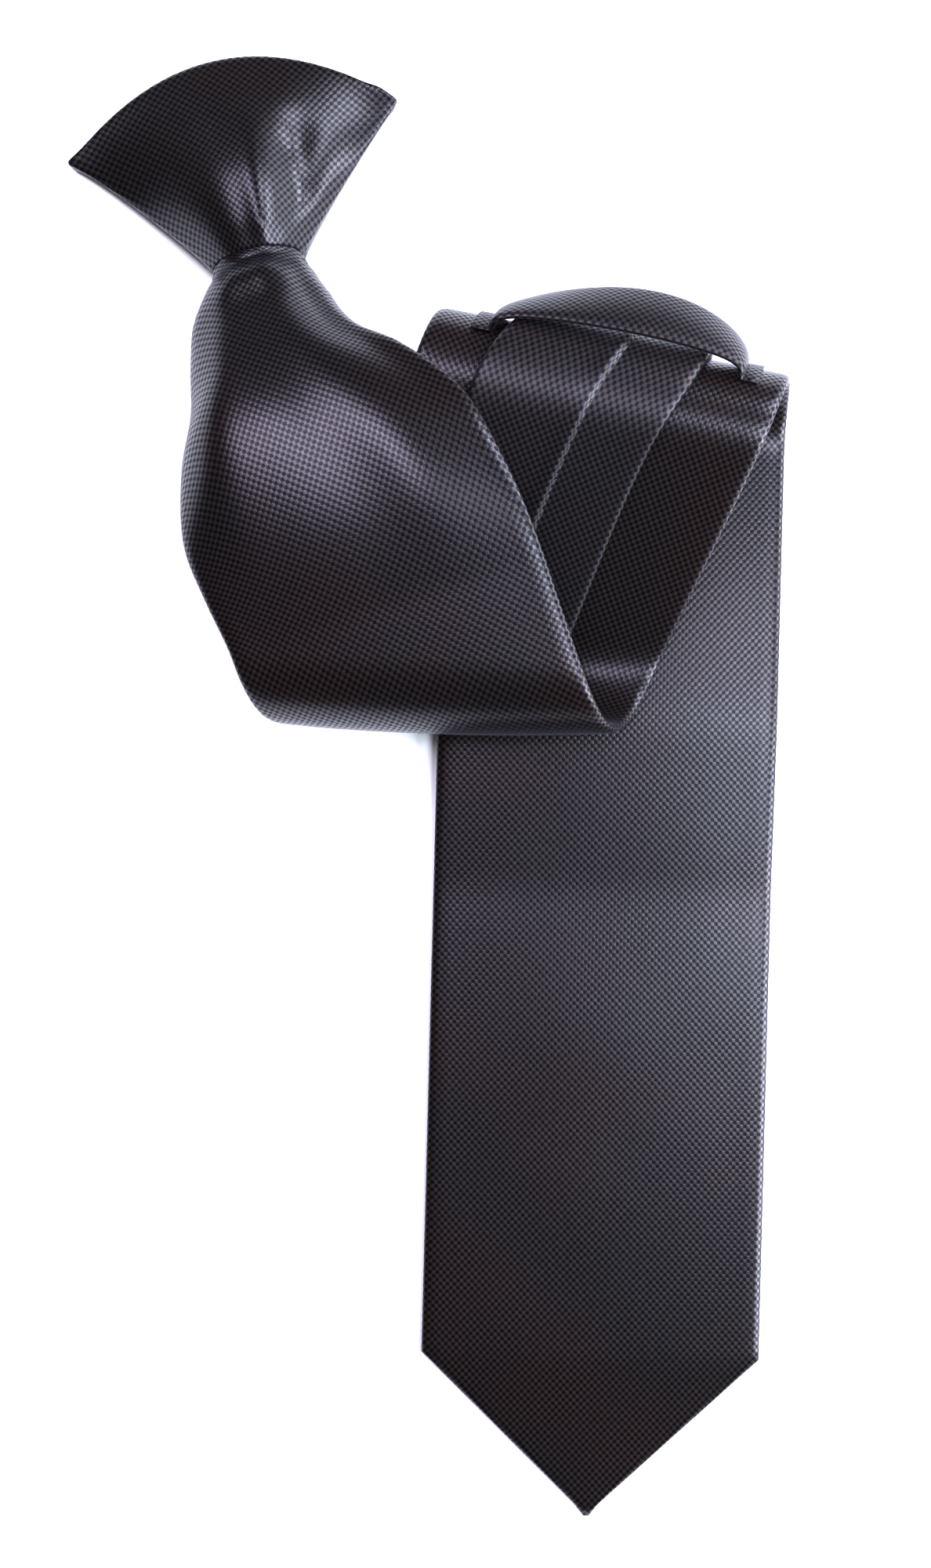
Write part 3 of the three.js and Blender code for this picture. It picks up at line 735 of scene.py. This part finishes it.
def patch(bm, uv_layer, grid):
    """Grid of (point, u, v) as faces of the mesh."""
    verts = [[bm.verts.new(point) for point, _, _ in row] for row in grid]
    for i in range(len(grid) - 1):
        for j in range(len(grid[0]) - 1):
            corners = [(i, j), (i, j + 1), (i + 1, j + 1), (i + 1, j)]
            face = bm.faces.new([verts[a][b] for a, b in corners])
            for loop, (a, b) in zip(face.loops, corners):
                loop[uv_layer].uv = grid[a][b][1:]


def knot_shell(name):
    """The knot's face, its two sides and its top edge, turned outward."""
    bm = bmesh.new()
    uv_layer = bm.loops.layers.uv.new(UV_NAME)
    fan = bpy.context.scene.tie_cloth.knot_fan
    columns = even_shares(KNOT_COLUMNS)
    rows = [i / KNOT_ROWS for i in range(KNOT_ROWS + 1)]
    drops = [i / KNOT_DROPS for i in range(KNOT_DROPS + 1)]

    def cloth(u, v, drop):
        x, y = knot_plan(u, v)
        straight = x * (1 - fan) + u * KNOT_WIDTH / KNOT_WEAVE_PART * fan
        side = math.copysign(drop * knot_height(u, v), u) if abs(u) == 1 else 0
        top = drop * knot_height(u, v) if v == 1 and abs(u) < 1 else 0
        return straight + side, y + top

    def spot(u, v, drop):
        return (knot_shell_point(u, v, drop), *cloth(u, v, drop))

    patch(bm, uv_layer, [[spot(u, v, 0) for u in columns] for v in rows])
    patch(bm, uv_layer, [[spot(-1, v, drop) for drop in reversed(drops)] for v in rows])
    patch(bm, uv_layer, [[spot(1, v, drop) for drop in drops] for v in rows])
    patch(bm, uv_layer, [[spot(u, 1, drop) for u in columns] for drop in drops])
    bmesh.ops.remove_doubles(bm, verts=bm.verts, dist=MERGE_DISTANCE)
    bmesh.ops.recalc_face_normals(bm, faces=bm.faces)
    piece = new_object(name, bm)
    highest = max(piece.data.polygons, key=lambda face: face.center.z)
    if highest.normal.z < 0:
        piece.data.flip_normals()
    return piece


def finish_shell(piece, thickness):
    """Gives a sheet its wall, inward, and rounds the rims."""
    wall = piece.modifiers.new("Wall", "SOLIDIFY")
    wall.thickness = thickness
    wall.offset = -1
    wall.use_even_offset = True
    rounding = piece.modifiers.new("Rounding", "SUBSURF")
    rounding.levels = rounding.render_levels = 1
    apply_modifiers(piece)


def apply_modifiers(piece):
    """Replaces the piece's mesh with its modified one."""
    depsgraph = bpy.context.evaluated_depsgraph_get()
    mesh = bpy.data.meshes.new_from_object(piece.evaluated_get(depsgraph), depsgraph=depsgraph)
    piece.modifiers.clear()
    piece.data = mesh
    mesh.shade_smooth()


# Shader maths

OBJECT_OUTPUT = 3


class Value:
    """An output of a material's node. Arithmetic on it adds Math nodes."""

    def __init__(self, graph, socket):
        self.graph = graph
        self.socket = socket

    def math(self, operation, *others):
        return self.graph.node("ShaderNodeMath", {"operation": operation}, [self, *others])

    def __add__(self, other):
        return self.math("ADD", other)

    def __radd__(self, other):
        return self.math("ADD", other)

    def __sub__(self, other):
        return self.math("SUBTRACT", other)

    def __rsub__(self, other):
        return self.graph.node("ShaderNodeMath", {"operation": "SUBTRACT"}, [other, self])

    def __mul__(self, other):
        return self.math("MULTIPLY", other)

    def __rmul__(self, other):
        return self.math("MULTIPLY", other)

    def __truediv__(self, other):
        return self.math("DIVIDE", other)


class Graph:
    """A material's nodes."""

    def __init__(self, name):
        self.material = bpy.data.materials.new(name)
        self.material.use_nodes = True
        self.tree = self.material.node_tree
        self.tree.nodes.clear()

    def node(self, kind, settings=None, values=(), output=0):
        """Adds a node. Settings come first, then its inputs by place or by name."""
        made = self.tree.nodes.new(kind)
        for key, value in (settings or {}).items():
            setattr(made, key, value)
        named = values.items() if isinstance(values, dict) else enumerate(values)
        for key, value in named:
            if isinstance(value, Value):
                self.tree.links.new(value.socket, made.inputs[key])
            else:
                made.inputs[key].default_value = value
        return Value(self, made.outputs[output])

    def place(self):
        """Object coordinates."""
        return self.node("ShaderNodeTexCoord", output=OBJECT_OUTPUT)

    def parts(self, vector):
        made = self.node("ShaderNodeSeparateXYZ", values=[vector])
        return [Value(self, output) for output in made.socket.node.outputs]

    def mix(self, factor, low, high):
        """Mixes two colours. The node's colour sockets are inputs 6 and 7 and output 2."""
        return self.node("ShaderNodeMix", {"data_type": "RGBA"}, {0: factor, 6: low, 7: high}, 2)

    def bump(self, strength, distance, height):
        values = {"Strength": strength, "Distance": distance, "Height": height}
        return self.node("ShaderNodeBump", values=values)

    def surface(self, inputs):
        shader = self.node("ShaderNodeBsdfPrincipled", values=inputs)
        end = self.tree.nodes.new("ShaderNodeOutputMaterial")
        self.tree.links.new(shader.socket, end.inputs["Surface"])
        return self.material

    def noise(self, vector, scale, detail=2.0):
        values = {"Vector": vector, "Scale": scale, "Detail": detail}
        return self.node("ShaderNodeTexNoise", values=values)


def colour(rgb, factor=1.0):
    return (rgb[0] * factor, rgb[1] * factor, rgb[2] * factor, 1)


# Weave: where a thread's slope ends on either side, and the height of the gaps, which also sets how much
# painted shade the gaps get
WEAVE_SLOPE = 0.7
WEAVE_GAP = 0.2
# Drift between the warm and the cool thread colour: noise scale, start and contrast
DRIFT_SCALE = 22.0
DRIFT_START = 0.42
DRIFT_CONTRAST = 6
# Fine unevenness of the threads: noise scale, and its part in the roughness and the relief
FINE_SCALE = 1500.0
FINE_ROUGHNESS = 0.14
FINE_RELIEF = 0.25
FACE_ROUGHNESS = 0.3
BACK_ROUGHNESS = 0.4
BACK_TONE = 0.8


def weave(graph, settings):
    """Basket weave on the cloth's own measure, lowest in the gaps and 1 on the threads. It is the relief and
    also the mask of the painted shade in the gaps.
    """
    across, along, _ = graph.parts(graph.node("ShaderNodeUVMap", {"uv_map": UV_NAME}))
    a = (across / settings.cell_across * math.pi).math("SINE")
    b = (along / settings.cell_along * math.pi).math("SINE")
    values = {"Value": a * b, "From Min": -WEAVE_SLOPE, "From Max": WEAVE_SLOPE, "To Min": WEAVE_GAP}
    return graph.node("ShaderNodeMapRange", {"interpolation_type": "SMOOTHSTEP"}, values)


def cloth_material(name, tone=1.0, roughness=FACE_ROUGHNESS):
    """Dark satin basket weave with a soft, faintly two-toned gloss.

    The gaps carry painted shade: they are nearly black and mostly metallic, because such a surface has
    hardly any gloss, so they look as dark as shade between threads.
    """
    settings = bpy.context.scene.tie_cloth
    graph = Graph(name)
    height = weave(graph, settings)
    place = graph.place()
    drift = graph.noise(place, DRIFT_SCALE)
    fine = graph.noise(place, FINE_SCALE, 1.0)
    # Painted shade: where the weave is low, the threads' colour is mixed down to the dark gap colour
    gap_shade = colour(settings.gap_shade_colour, tone)
    warm = graph.mix(height, gap_shade, colour(settings.warm_colour, tone))
    cool = graph.mix(height, gap_shade, colour(settings.cool_colour, tone))
    base = graph.mix((drift - DRIFT_START) * DRIFT_CONTRAST, warm, cool)
    rough = roughness + (fine - 0.5) * FINE_ROUGHNESS
    relief = height + fine * FINE_RELIEF
    bump = graph.bump(1.0, settings.thread_height, relief)
    return graph.surface({
        "Base Color": base,
        # Mostly metallic in the gaps: with the dark colour, this is painted shade that takes out their gloss
        "Metallic": 1 - height,
        "Roughness": rough,
        "Normal": bump,
        "Specular IOR Level": settings.gloss,
        "Specular Tint": (0.4, 0.4, 0.46, 1),
        "Sheen Weight": 0.03,
        "Sheen Roughness": 0.4,
        "Sheen Tint": (0.75, 0.78, 1, 1),
    })


def face_cloth():
    return bpy.data.materials.get("Face cloth") or cloth_material("Face cloth")


def back_cloth():
    return bpy.data.materials.get("Back cloth") or cloth_material("Back cloth", BACK_TONE, BACK_ROUGHNESS)


THREAD_SCALE = 2500.0
THREAD_RELIEF = 0.05 * MM
THREAD_DARK = (0.004, 0.004, 0.005)
THREAD_LIGHT = (0.02, 0.019, 0.022)


def thread_material():
    """Sewing thread, a little lighter than the cloth, with a twist."""
    graph = Graph("Sewing thread")
    twist = graph.noise(graph.place(), THREAD_SCALE, 1.0)
    base = graph.mix(twist, colour(THREAD_DARK), colour(THREAD_LIGHT))
    bump = graph.bump(0.6, THREAD_RELIEF, twist)
    return graph.surface({"Base Color": base, "Roughness": 0.55, "Normal": bump, "Sheen Weight": 0.3})


BRUSH_SCALE = (3000, 40, 3000)
BRUSH_RELIEF = 0.02 * MM
BRUSH_ROUGHNESS = 0.16
WEAR_SCALE = 180.0
WEAR_ROUGHNESS = 0.08
NICKEL_ROUGHNESS = 0.2
NICKEL_DULL = (0.58, 0.58, 0.56)
NICKEL_BRIGHT = (0.7, 0.71, 0.72)


def clip_material():
    """Nickel-plated spring steel, brushed along its length and worn at random."""
    graph = Graph("Nickel clip")
    place = graph.place()
    turn = (0, 0, -surface.heading)
    values = {"Vector": place, "Rotation": turn, "Scale": BRUSH_SCALE}
    brushed = graph.noise(graph.node("ShaderNodeMapping", values=values), 1.0, 3.0)
    worn = graph.noise(place, WEAR_SCALE, 4.0)
    base = graph.mix(worn, colour(NICKEL_DULL), colour(NICKEL_BRIGHT))
    rough = NICKEL_ROUGHNESS + brushed * BRUSH_ROUGHNESS + worn * WEAR_ROUGHNESS
    bump = graph.bump(0.3, BRUSH_RELIEF, brushed)
    return graph.surface({"Base Color": base, "Metallic": 1.0, "Roughness": rough, "Normal": bump})


TABLE_GRAIN_SCALE = 60.0
TABLE_GRAIN_TONE = 0.985


def floor_material():
    floor_colour = bpy.context.scene.tie_stage.floor_colour
    graph = Graph("Pale table")
    grain = graph.noise(graph.place(), TABLE_GRAIN_SCALE, 3.0)
    base = graph.mix(grain, colour(floor_colour, TABLE_GRAIN_TONE), colour(floor_colour))
    return graph.surface({"Base Color": base, "Roughness": 0.6})


# Stitches, by Geometry Nodes

STITCH_TREE = "Stitches along a path"
STITCH_SIDES = 6
STITCH_RISE = 0.25
STITCH_PATH_STEP = 3 * MM
STITCH_PROUD = 0.02 * MM


def stitch_tree():
    """Thread stitches along an edge path: spacing, length and thickness are its inputs."""
    tree = bpy.data.node_groups.new(STITCH_TREE, "GeometryNodeTree")
    face = tree.interface
    face.new_socket("Geometry", in_out="INPUT", socket_type="NodeSocketGeometry")
    for name in ("Spacing", "Length", "Thickness"):
        face.new_socket(name, in_out="INPUT", socket_type="NodeSocketFloat")
    face.new_socket("Material", in_out="INPUT", socket_type="NodeSocketMaterial")
    face.new_socket("Geometry", in_out="OUTPUT", socket_type="NodeSocketGeometry")
    nodes, links = tree.nodes, tree.links

    def add(kind, settings=None, **values):
        made = nodes.new(kind)
        for key, value in (settings or {}).items():
            setattr(made, key, value)
        for key, value in values.items():
            socket = made.inputs[key.replace("_", " ")]
            if isinstance(value, bpy.types.NodeSocket):
                links.new(value, socket)
            else:
                socket.default_value = value
        return made

    given = add("NodeGroupInput")
    path = add("GeometryNodeMeshToCurve", Mesh=given.outputs["Geometry"])
    spaced = add(
        "GeometryNodeCurveToPoints",
        {"mode": "LENGTH"},
        Curve=path.outputs[0],
        Length=given.outputs["Spacing"],
    )
    start = add("ShaderNodeCombineXYZ", Z=-0.5)
    middle = add("ShaderNodeCombineXYZ", Y=STITCH_RISE)
    end = add("ShaderNodeCombineXYZ", Z=0.5)
    arc = add(
        "GeometryNodeCurveQuadraticBezier",
        Start=start.outputs[0],
        Middle=middle.outputs[0],
        End=end.outputs[0],
        Resolution=STITCH_SIDES,
    )
    share = add("ShaderNodeMath", {"operation": "DIVIDE"})
    links.new(given.outputs["Thickness"], share.inputs[0])
    links.new(given.outputs["Length"], share.inputs[1])
    ring = add("GeometryNodeCurvePrimitiveCircle", Resolution=STITCH_SIDES, Radius=share.outputs[0])
    thread = add(
        "GeometryNodeCurveToMesh",
        Curve=arc.outputs[0],
        Profile_Curve=ring.outputs[0],
        Fill_Caps=True,
    )
    copies = add(
        "GeometryNodeInstanceOnPoints",
        Points=spaced.outputs["Points"],
        Instance=thread.outputs[0],
        Rotation=spaced.outputs["Rotation"],
        Scale=given.outputs["Length"],
    )
    real = add("GeometryNodeRealizeInstances", Geometry=copies.outputs[0])
    paint = given.outputs["Material"]
    painted = add("GeometryNodeSetMaterial", Geometry=real.outputs[0], Material=paint)
    result = nodes.new("NodeGroupOutput")
    links.new(painted.outputs[0], result.inputs[0])
    return tree


def stitch(name, path, material):
    """Stitches along a path of points, as one mesh."""
    settings = bpy.context.scene.tie_stitches
    bm = bmesh.new()
    verts = [bm.verts.new(point) for point in path]
    for a, b in zip(verts, verts[1:]):
        bm.edges.new((a, b))
    piece = new_object(name, bm, smooth_shading=False)
    tree = bpy.data.node_groups.get(STITCH_TREE) or stitch_tree()
    modifier = piece.modifiers.new("Stitches", "NODES")
    modifier.node_group = tree
    given = {
        "Spacing": settings.spacing,
        "Length": settings.length,
        "Thickness": settings.thickness,
        "Material": material,
    }
    for item in tree.interface.items_tree:
        if item.in_out == "INPUT" and item.name in given:
            modifier[item.identifier] = given[item.name]
    apply_modifiers(piece)
    return piece


def seam_path(share, start, end):
    """Points along the back of the tail, at a share of its half width, a little proud of it."""
    count = max(2, round((end - start) / STITCH_PATH_STEP))
    points = []
    for i in range(count + 1):
        along = start + (end - start) * i / count
        across, height, _ = tail_place(Spot(share, -1, None, -1), along)
        points.append(surface.point(across, along, height - STITCH_PROUD))
    return points


# Pieces


def hold(piece, slot, *nodes):
    """Ties a piece to the frame: it rides on the one body, and may replace CAD nodes."""
    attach(piece, "root")
    if nodes:
        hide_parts(*nodes)


def strip_area(width, start, end, steps=200):
    """Flat area of a strip from the width along it."""
    length = (end - start) / steps
    return sum(width(start + (i + 0.5) * length) * length for i in range(steps))


def length_property(name, description, default, least=0.0):
    return FloatProperty(
        name=name,
        description=description,
        default=default,
        min=least,
        precision=5,
        unit="LENGTH",
    )


def share_property(name, description, default):
    return FloatProperty(name=name, description=description, default=default, min=0, max=1, subtype="FACTOR")


def power_property(name, description, default):
    return FloatProperty(name=name, description=description, default=default, min=0, subtype="POWER")


def colour_property(name, description, default):
    return FloatVectorProperty(
        name=name,
        description=description,
        default=default,
        min=0,
        max=1,
        subtype="COLOR",
    )


class ClothSettings(bpy.types.PropertyGroup):
    cell_across: length_property("Cell across", "Width of one crossing of the weave", 0.85 * MM, 0.1 * MM)
    cell_along: length_property("Cell along", "Length of one crossing of the weave", 0.91 * MM, 0.1 * MM)
    thread_height: length_property("Thread height", "Depth of the weave's relief", 0.037 * MM)
    ripple_height: length_property("Ripple height", "Unevenness of the laid cloth", 0.22 * MM)
    seam_groove_depth: length_property(
        "Seam groove depth", "Depth of the seam along the blade's back", 0.3 * MM
    )
    seam_groove_width: length_property(
        "Seam groove width", "Half width of the seam along the blade's back", 0.8 * MM, 0.1 * MM
    )
    seam_roll: length_property(
        "Seam roll", "Breadth of the rolled edge at the tail's seam", 1.3 * MM, 0.1 * MM
    )
    seam_height: length_property(
        "Seam height", "How far the rolled edge at the tail's seam stands up", 0.35 * MM
    )
    blade_crown: length_property(
        "Blade crown", "How far the middle of the blade's face stands over its edges", 1.4 * MM
    )
    knot_fan: share_property("Knot fan", "How far the weave on the knot fans out with its wings", 0.3)
    gloss: share_property("Gloss", "Strength of the satin's reflection", 0.8)
    # Painted shade: the dark colour of the weave's gaps between the threads
    gap_shade_colour: colour_property("Gap colour", "Colour between the threads", (0.003, 0.0016, 0.0014))
    warm_colour: colour_property(
        "Warm thread colour", "Thread colour where the cloth looks purple grey", (0.0085, 0.0046, 0.0041)
    )
    cool_colour: colour_property(
        "Cool thread colour", "Thread colour where the cloth looks blue grey", (0.006, 0.0048, 0.0048)
    )
    blade_columns: IntProperty(
        name="Blade columns",
        description="Columns of the blade's mesh across its face",
        default=29,
        min=5,
    )


class StitchSettings(bpy.types.PropertyGroup):
    spacing: length_property("Spacing", "Distance between stitches", 4 * MM, 0.5 * MM)
    length: length_property("Length", "Length of one stitch", 1.3 * MM, 0.2 * MM)
    thickness: length_property("Thickness", "Radius of the thread", 0.1 * MM, 0.02 * MM)


class StageSettings(bpy.types.PropertyGroup):
    floor_colour: colour_property("Floor colour", "Colour of the pale table", (0.93, 0.93, 0.93))
    key_power: power_property("Key light power", "Power of the softbox on the right", 11.5)
    side_power: power_property(
        "Side light power", "Power of the low softbox on the right, which lights the edges", 27.0
    )
    low_power: power_property(
        "Low light power", "Power of the low strip at the upper right, which lights the knot's ridge", 18.0
    )
    back_power: power_property(
        "Back light power", "Power of the softbox at the upper right, which lights the knot", 13.0
    )
    fill_power: power_property("Fill light power", "Power of the softbox beyond the knot", 13.0)
    sky_strength: FloatProperty(
        name="Sky strength",
        description="Brightness of the white surroundings",
        default=0.14,
        min=0,
    )


class TIE_OT_blade(bpy.types.Operator):
    """Build the blade, folded in three"""

    bl_idname = "clip_on_tie.blade"
    bl_label = "Build Blade"

    def execute(self, context):
        spots = ring_spots(even_shares(context.scene.tie_cloth.blade_columns))
        blade = loft("blade_cloth", [strip_ring(row, spots, blade_place) for row in strip_rows(0)])
        blade.data.materials.append(face_cloth())
        hold(blade, "cloth", "blade")
        area = strip_area(blade_width, 0, surface.strip_end)
        return {"FINISHED"}


# Columns of the tail's mesh before its seam, in rolls, and after it, as shares
SEAM_ROLLS = (3, 1.6, 1, 0.8, 0.6, 0.4, 0.22, 0.1, 0.03)
SEAM_START = 0.001
SEAM_FOOT = 0.002
SEAM_STITCHES = 0.02
SHARE_DIGITS = 5


class TIE_OT_tail(bpy.types.Operator):
    """Build the tail with its sewn back seam"""

    bl_idname = "clip_on_tie.tail"
    bl_label = "Build Tail"

    def execute(self, context):
        seam = TAIL_SEAM_OFFSET / TAIL_HALF
        roll = context.scene.tie_cloth.seam_roll / TAIL_HALF
        shares = even_shares(TAIL_COLUMNS)
        shares += [seam - roll * part for part in SEAM_ROLLS]
        shares += [seam + SEAM_FOOT, seam + SEAM_STITCHES]
        shares = sorted(set(round(share, SHARE_DIGITS) for share in shares))
        spots = ring_spots(shares, seam + SEAM_START)
        rows = strip_rows(surface.tail_end)
        tail = loft("tail_cloth", [strip_ring(row, spots, tail_place) for row in rows])
        tail.data.materials.append(back_cloth())
        start = surface.tail_end + TAIL_TIP_DEPTH
        path = seam_path(seam + SEAM_STITCHES, start, surface.neck_at)
        stitches = stitch("tail_stitches", path, thread_material())
        hold(tail, "cloth_back", "tail")
        hold(stitches, "cloth_back")
        area = 2 * strip_area(tail_half_width, surface.tail_end, surface.strip_end)
        flat = (TAIL_WIDTH, surface.strip_end - surface.tail_end)
        return {"FINISHED"}


class TIE_OT_keeper(bpy.types.Operator):
    """Build the keeper loop"""

    bl_idname = "clip_on_tie.keeper"
    bl_label = "Build Keeper"

    def execute(self, context):
        rings = keeper_rings()
        keeper = loft("keeper_band", rings)
        keeper.data.materials.append(back_cloth())
        hold(keeper, "cloth_back", "keeper")
        return {"FINISHED"}


class TIE_OT_knot(bpy.types.Operator):
    """Build the knot as a shell of cloth"""

    bl_idname = "clip_on_tie.knot"
    bl_label = "Build Knot"

    def execute(self, context):
        knot = knot_shell("knot_cloth")
        finish_shell(knot, KNOT_SHEET_THICKNESS)
        knot.data.materials.append(face_cloth())
        hold(knot, "cloth", "knot")
        reach = KNOT_WIDTH + 2 * WING_EDGE
        length = KNOT_LENGTH + TOP_EDGE_HEIGHT
        area = reach * length * KNOT_SHEET_SHARE
        return {"FINISHED"}


class TIE_OT_clip(bpy.types.Operator):
    """Finish the collar clip"""

    bl_idname = "clip_on_tie.clip"
    bl_label = "Finish Clip"

    def execute(self, context):
        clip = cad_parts["clip"]
        clip.data.materials.clear()
        clip.data.materials.append(clip_material())
        return {"FINISHED"}


TABLE_REACH = 3
TABLE_SQUARES = 8
# Softboxes: name, place, size, the setting of its power, tint
LIGHTS = [
    ("Key light", (0.45, -0.02, 0.9), (0.24, 0.4), "key_power", (0.78, 0.86, 1)),
    ("Side light", (0.9, -0.25, 0.4), (0.4, 0.6), "side_power", (0.82, 0.87, 1)),
    ("Low light", (0.95, 0.4, 0.3), (0.7, 0.16), "low_power", (0.8, 0.86, 1)),
    ("Back light", (0.7, 0.75, 0.8), (0.35, 0.35), "back_power", (0.8, 0.85, 1)),
    ("Fill light", (-0.27, 0.36, 0.9), (0.18, 0.8), "fill_power", (0.86, 0.8, 1)),
]


class TIE_OT_stage(bpy.types.Operator):
    """Make the table, the lights and the camera above"""

    bl_idname = "clip_on_tie.stage"
    bl_label = "Build Stage"

    def execute(self, context):
        scene = context.scene
        settings = scene.tie_stage
        bm = bmesh.new()
        bmesh.ops.create_grid(bm, x_segments=TABLE_SQUARES, y_segments=TABLE_SQUARES, size=TABLE_REACH)
        table = new_object("Table", bm)
        table.data.materials.append(floor_material())
        for name, place, size, power, tint in LIGHTS:
            add_light(name, place, size, getattr(settings, power), tint)
        world = bpy.data.worlds.new("White room")
        world.use_nodes = True
        background = world.node_tree.nodes["Background"]
        background.inputs["Color"].default_value = (1, 1, 1, 1)
        background.inputs["Strength"].default_value = settings.sky_strength
        scene.world = world
        scene.view_settings.view_transform = "Standard"
        add_camera(scene)
        return {"FINISHED"}


def add_light(name, place, size, power, tint):
    """Softbox over the table, turned to its middle."""
    data = bpy.data.lights.new(name, "AREA")
    data.color = tint
    data.shape = "RECTANGLE"
    data.size, data.size_y = size
    data.energy = power
    light = bpy.data.objects.new(name, data)
    light.location = place
    light.rotation_euler = (-Vector(place)).to_track_quat("-Z", "Y").to_euler()
    bpy.context.scene.collection.objects.link(light)


def add_camera(scene):
    """Camera straight above, placed so that the blade's tip falls where the photograph has it."""
    tip = surface.point(0, 0, 0)
    data = bpy.data.cameras.new("Photo camera")
    data.lens = SENSOR_MM * CAMERA_HEIGHT * PHOTO_SCALE / PHOTO_HEIGHT
    data.sensor_width = SENSOR_MM
    camera = bpy.data.objects.new("Photo camera", data)
    x = tip.x - (PHOTO_TIP[0] - PHOTO_WIDTH / 2) / PHOTO_SCALE
    y = tip.y + (PHOTO_TIP[1] - PHOTO_HEIGHT / 2) / PHOTO_SCALE
    camera.location = (x, y, CAMERA_HEIGHT)
    scene.collection.objects.link(camera)
    scene.camera = camera


class VIEW3D_PT_clip_on_tie(bpy.types.Panel):
    bl_label = "Clip-on Tie"
    bl_space_type = "VIEW_3D"
    bl_region_type = "UI"
    bl_category = "Clip-on Tie"

    def draw(self, context):
        layout = self.layout
        for settings in (context.scene.tie_cloth, context.scene.tie_stitches, context.scene.tie_stage):
            box = layout.box()
            for name in settings.bl_rna.properties.keys():
                if name not in ("rna_type", "name"):
                    box.prop(settings, name)
        for operator in OPERATORS:
            layout.operator(operator.bl_idname)


SETTINGS = (ClothSettings, StitchSettings, StageSettings)
OPERATORS = (TIE_OT_stage, TIE_OT_blade, TIE_OT_tail, TIE_OT_keeper, TIE_OT_knot, TIE_OT_clip)


def register():
    for cls in (*SETTINGS, *OPERATORS, VIEW3D_PT_clip_on_tie):
        bpy.utils.register_class(cls)
    bpy.types.Scene.tie_cloth = PointerProperty(type=ClothSettings)
    bpy.types.Scene.tie_stitches = PointerProperty(type=StitchSettings)
    bpy.types.Scene.tie_stage = PointerProperty(type=StageSettings)


def unregister():
    del bpy.types.Scene.tie_cloth
    del bpy.types.Scene.tie_stitches
    del bpy.types.Scene.tie_stage
    for cls in reversed((*SETTINGS, *OPERATORS, VIEW3D_PT_clip_on_tie)):
        bpy.utils.unregister_class(cls)


def main():
    register()
    bpy.ops.clip_on_tie.stage()
    bpy.ops.clip_on_tie.blade()
    bpy.ops.clip_on_tie.tail()
    bpy.ops.clip_on_tie.keeper()
    bpy.ops.clip_on_tie.knot()
    bpy.ops.clip_on_tie.clip()


if __name__ == "__main__":
    main()
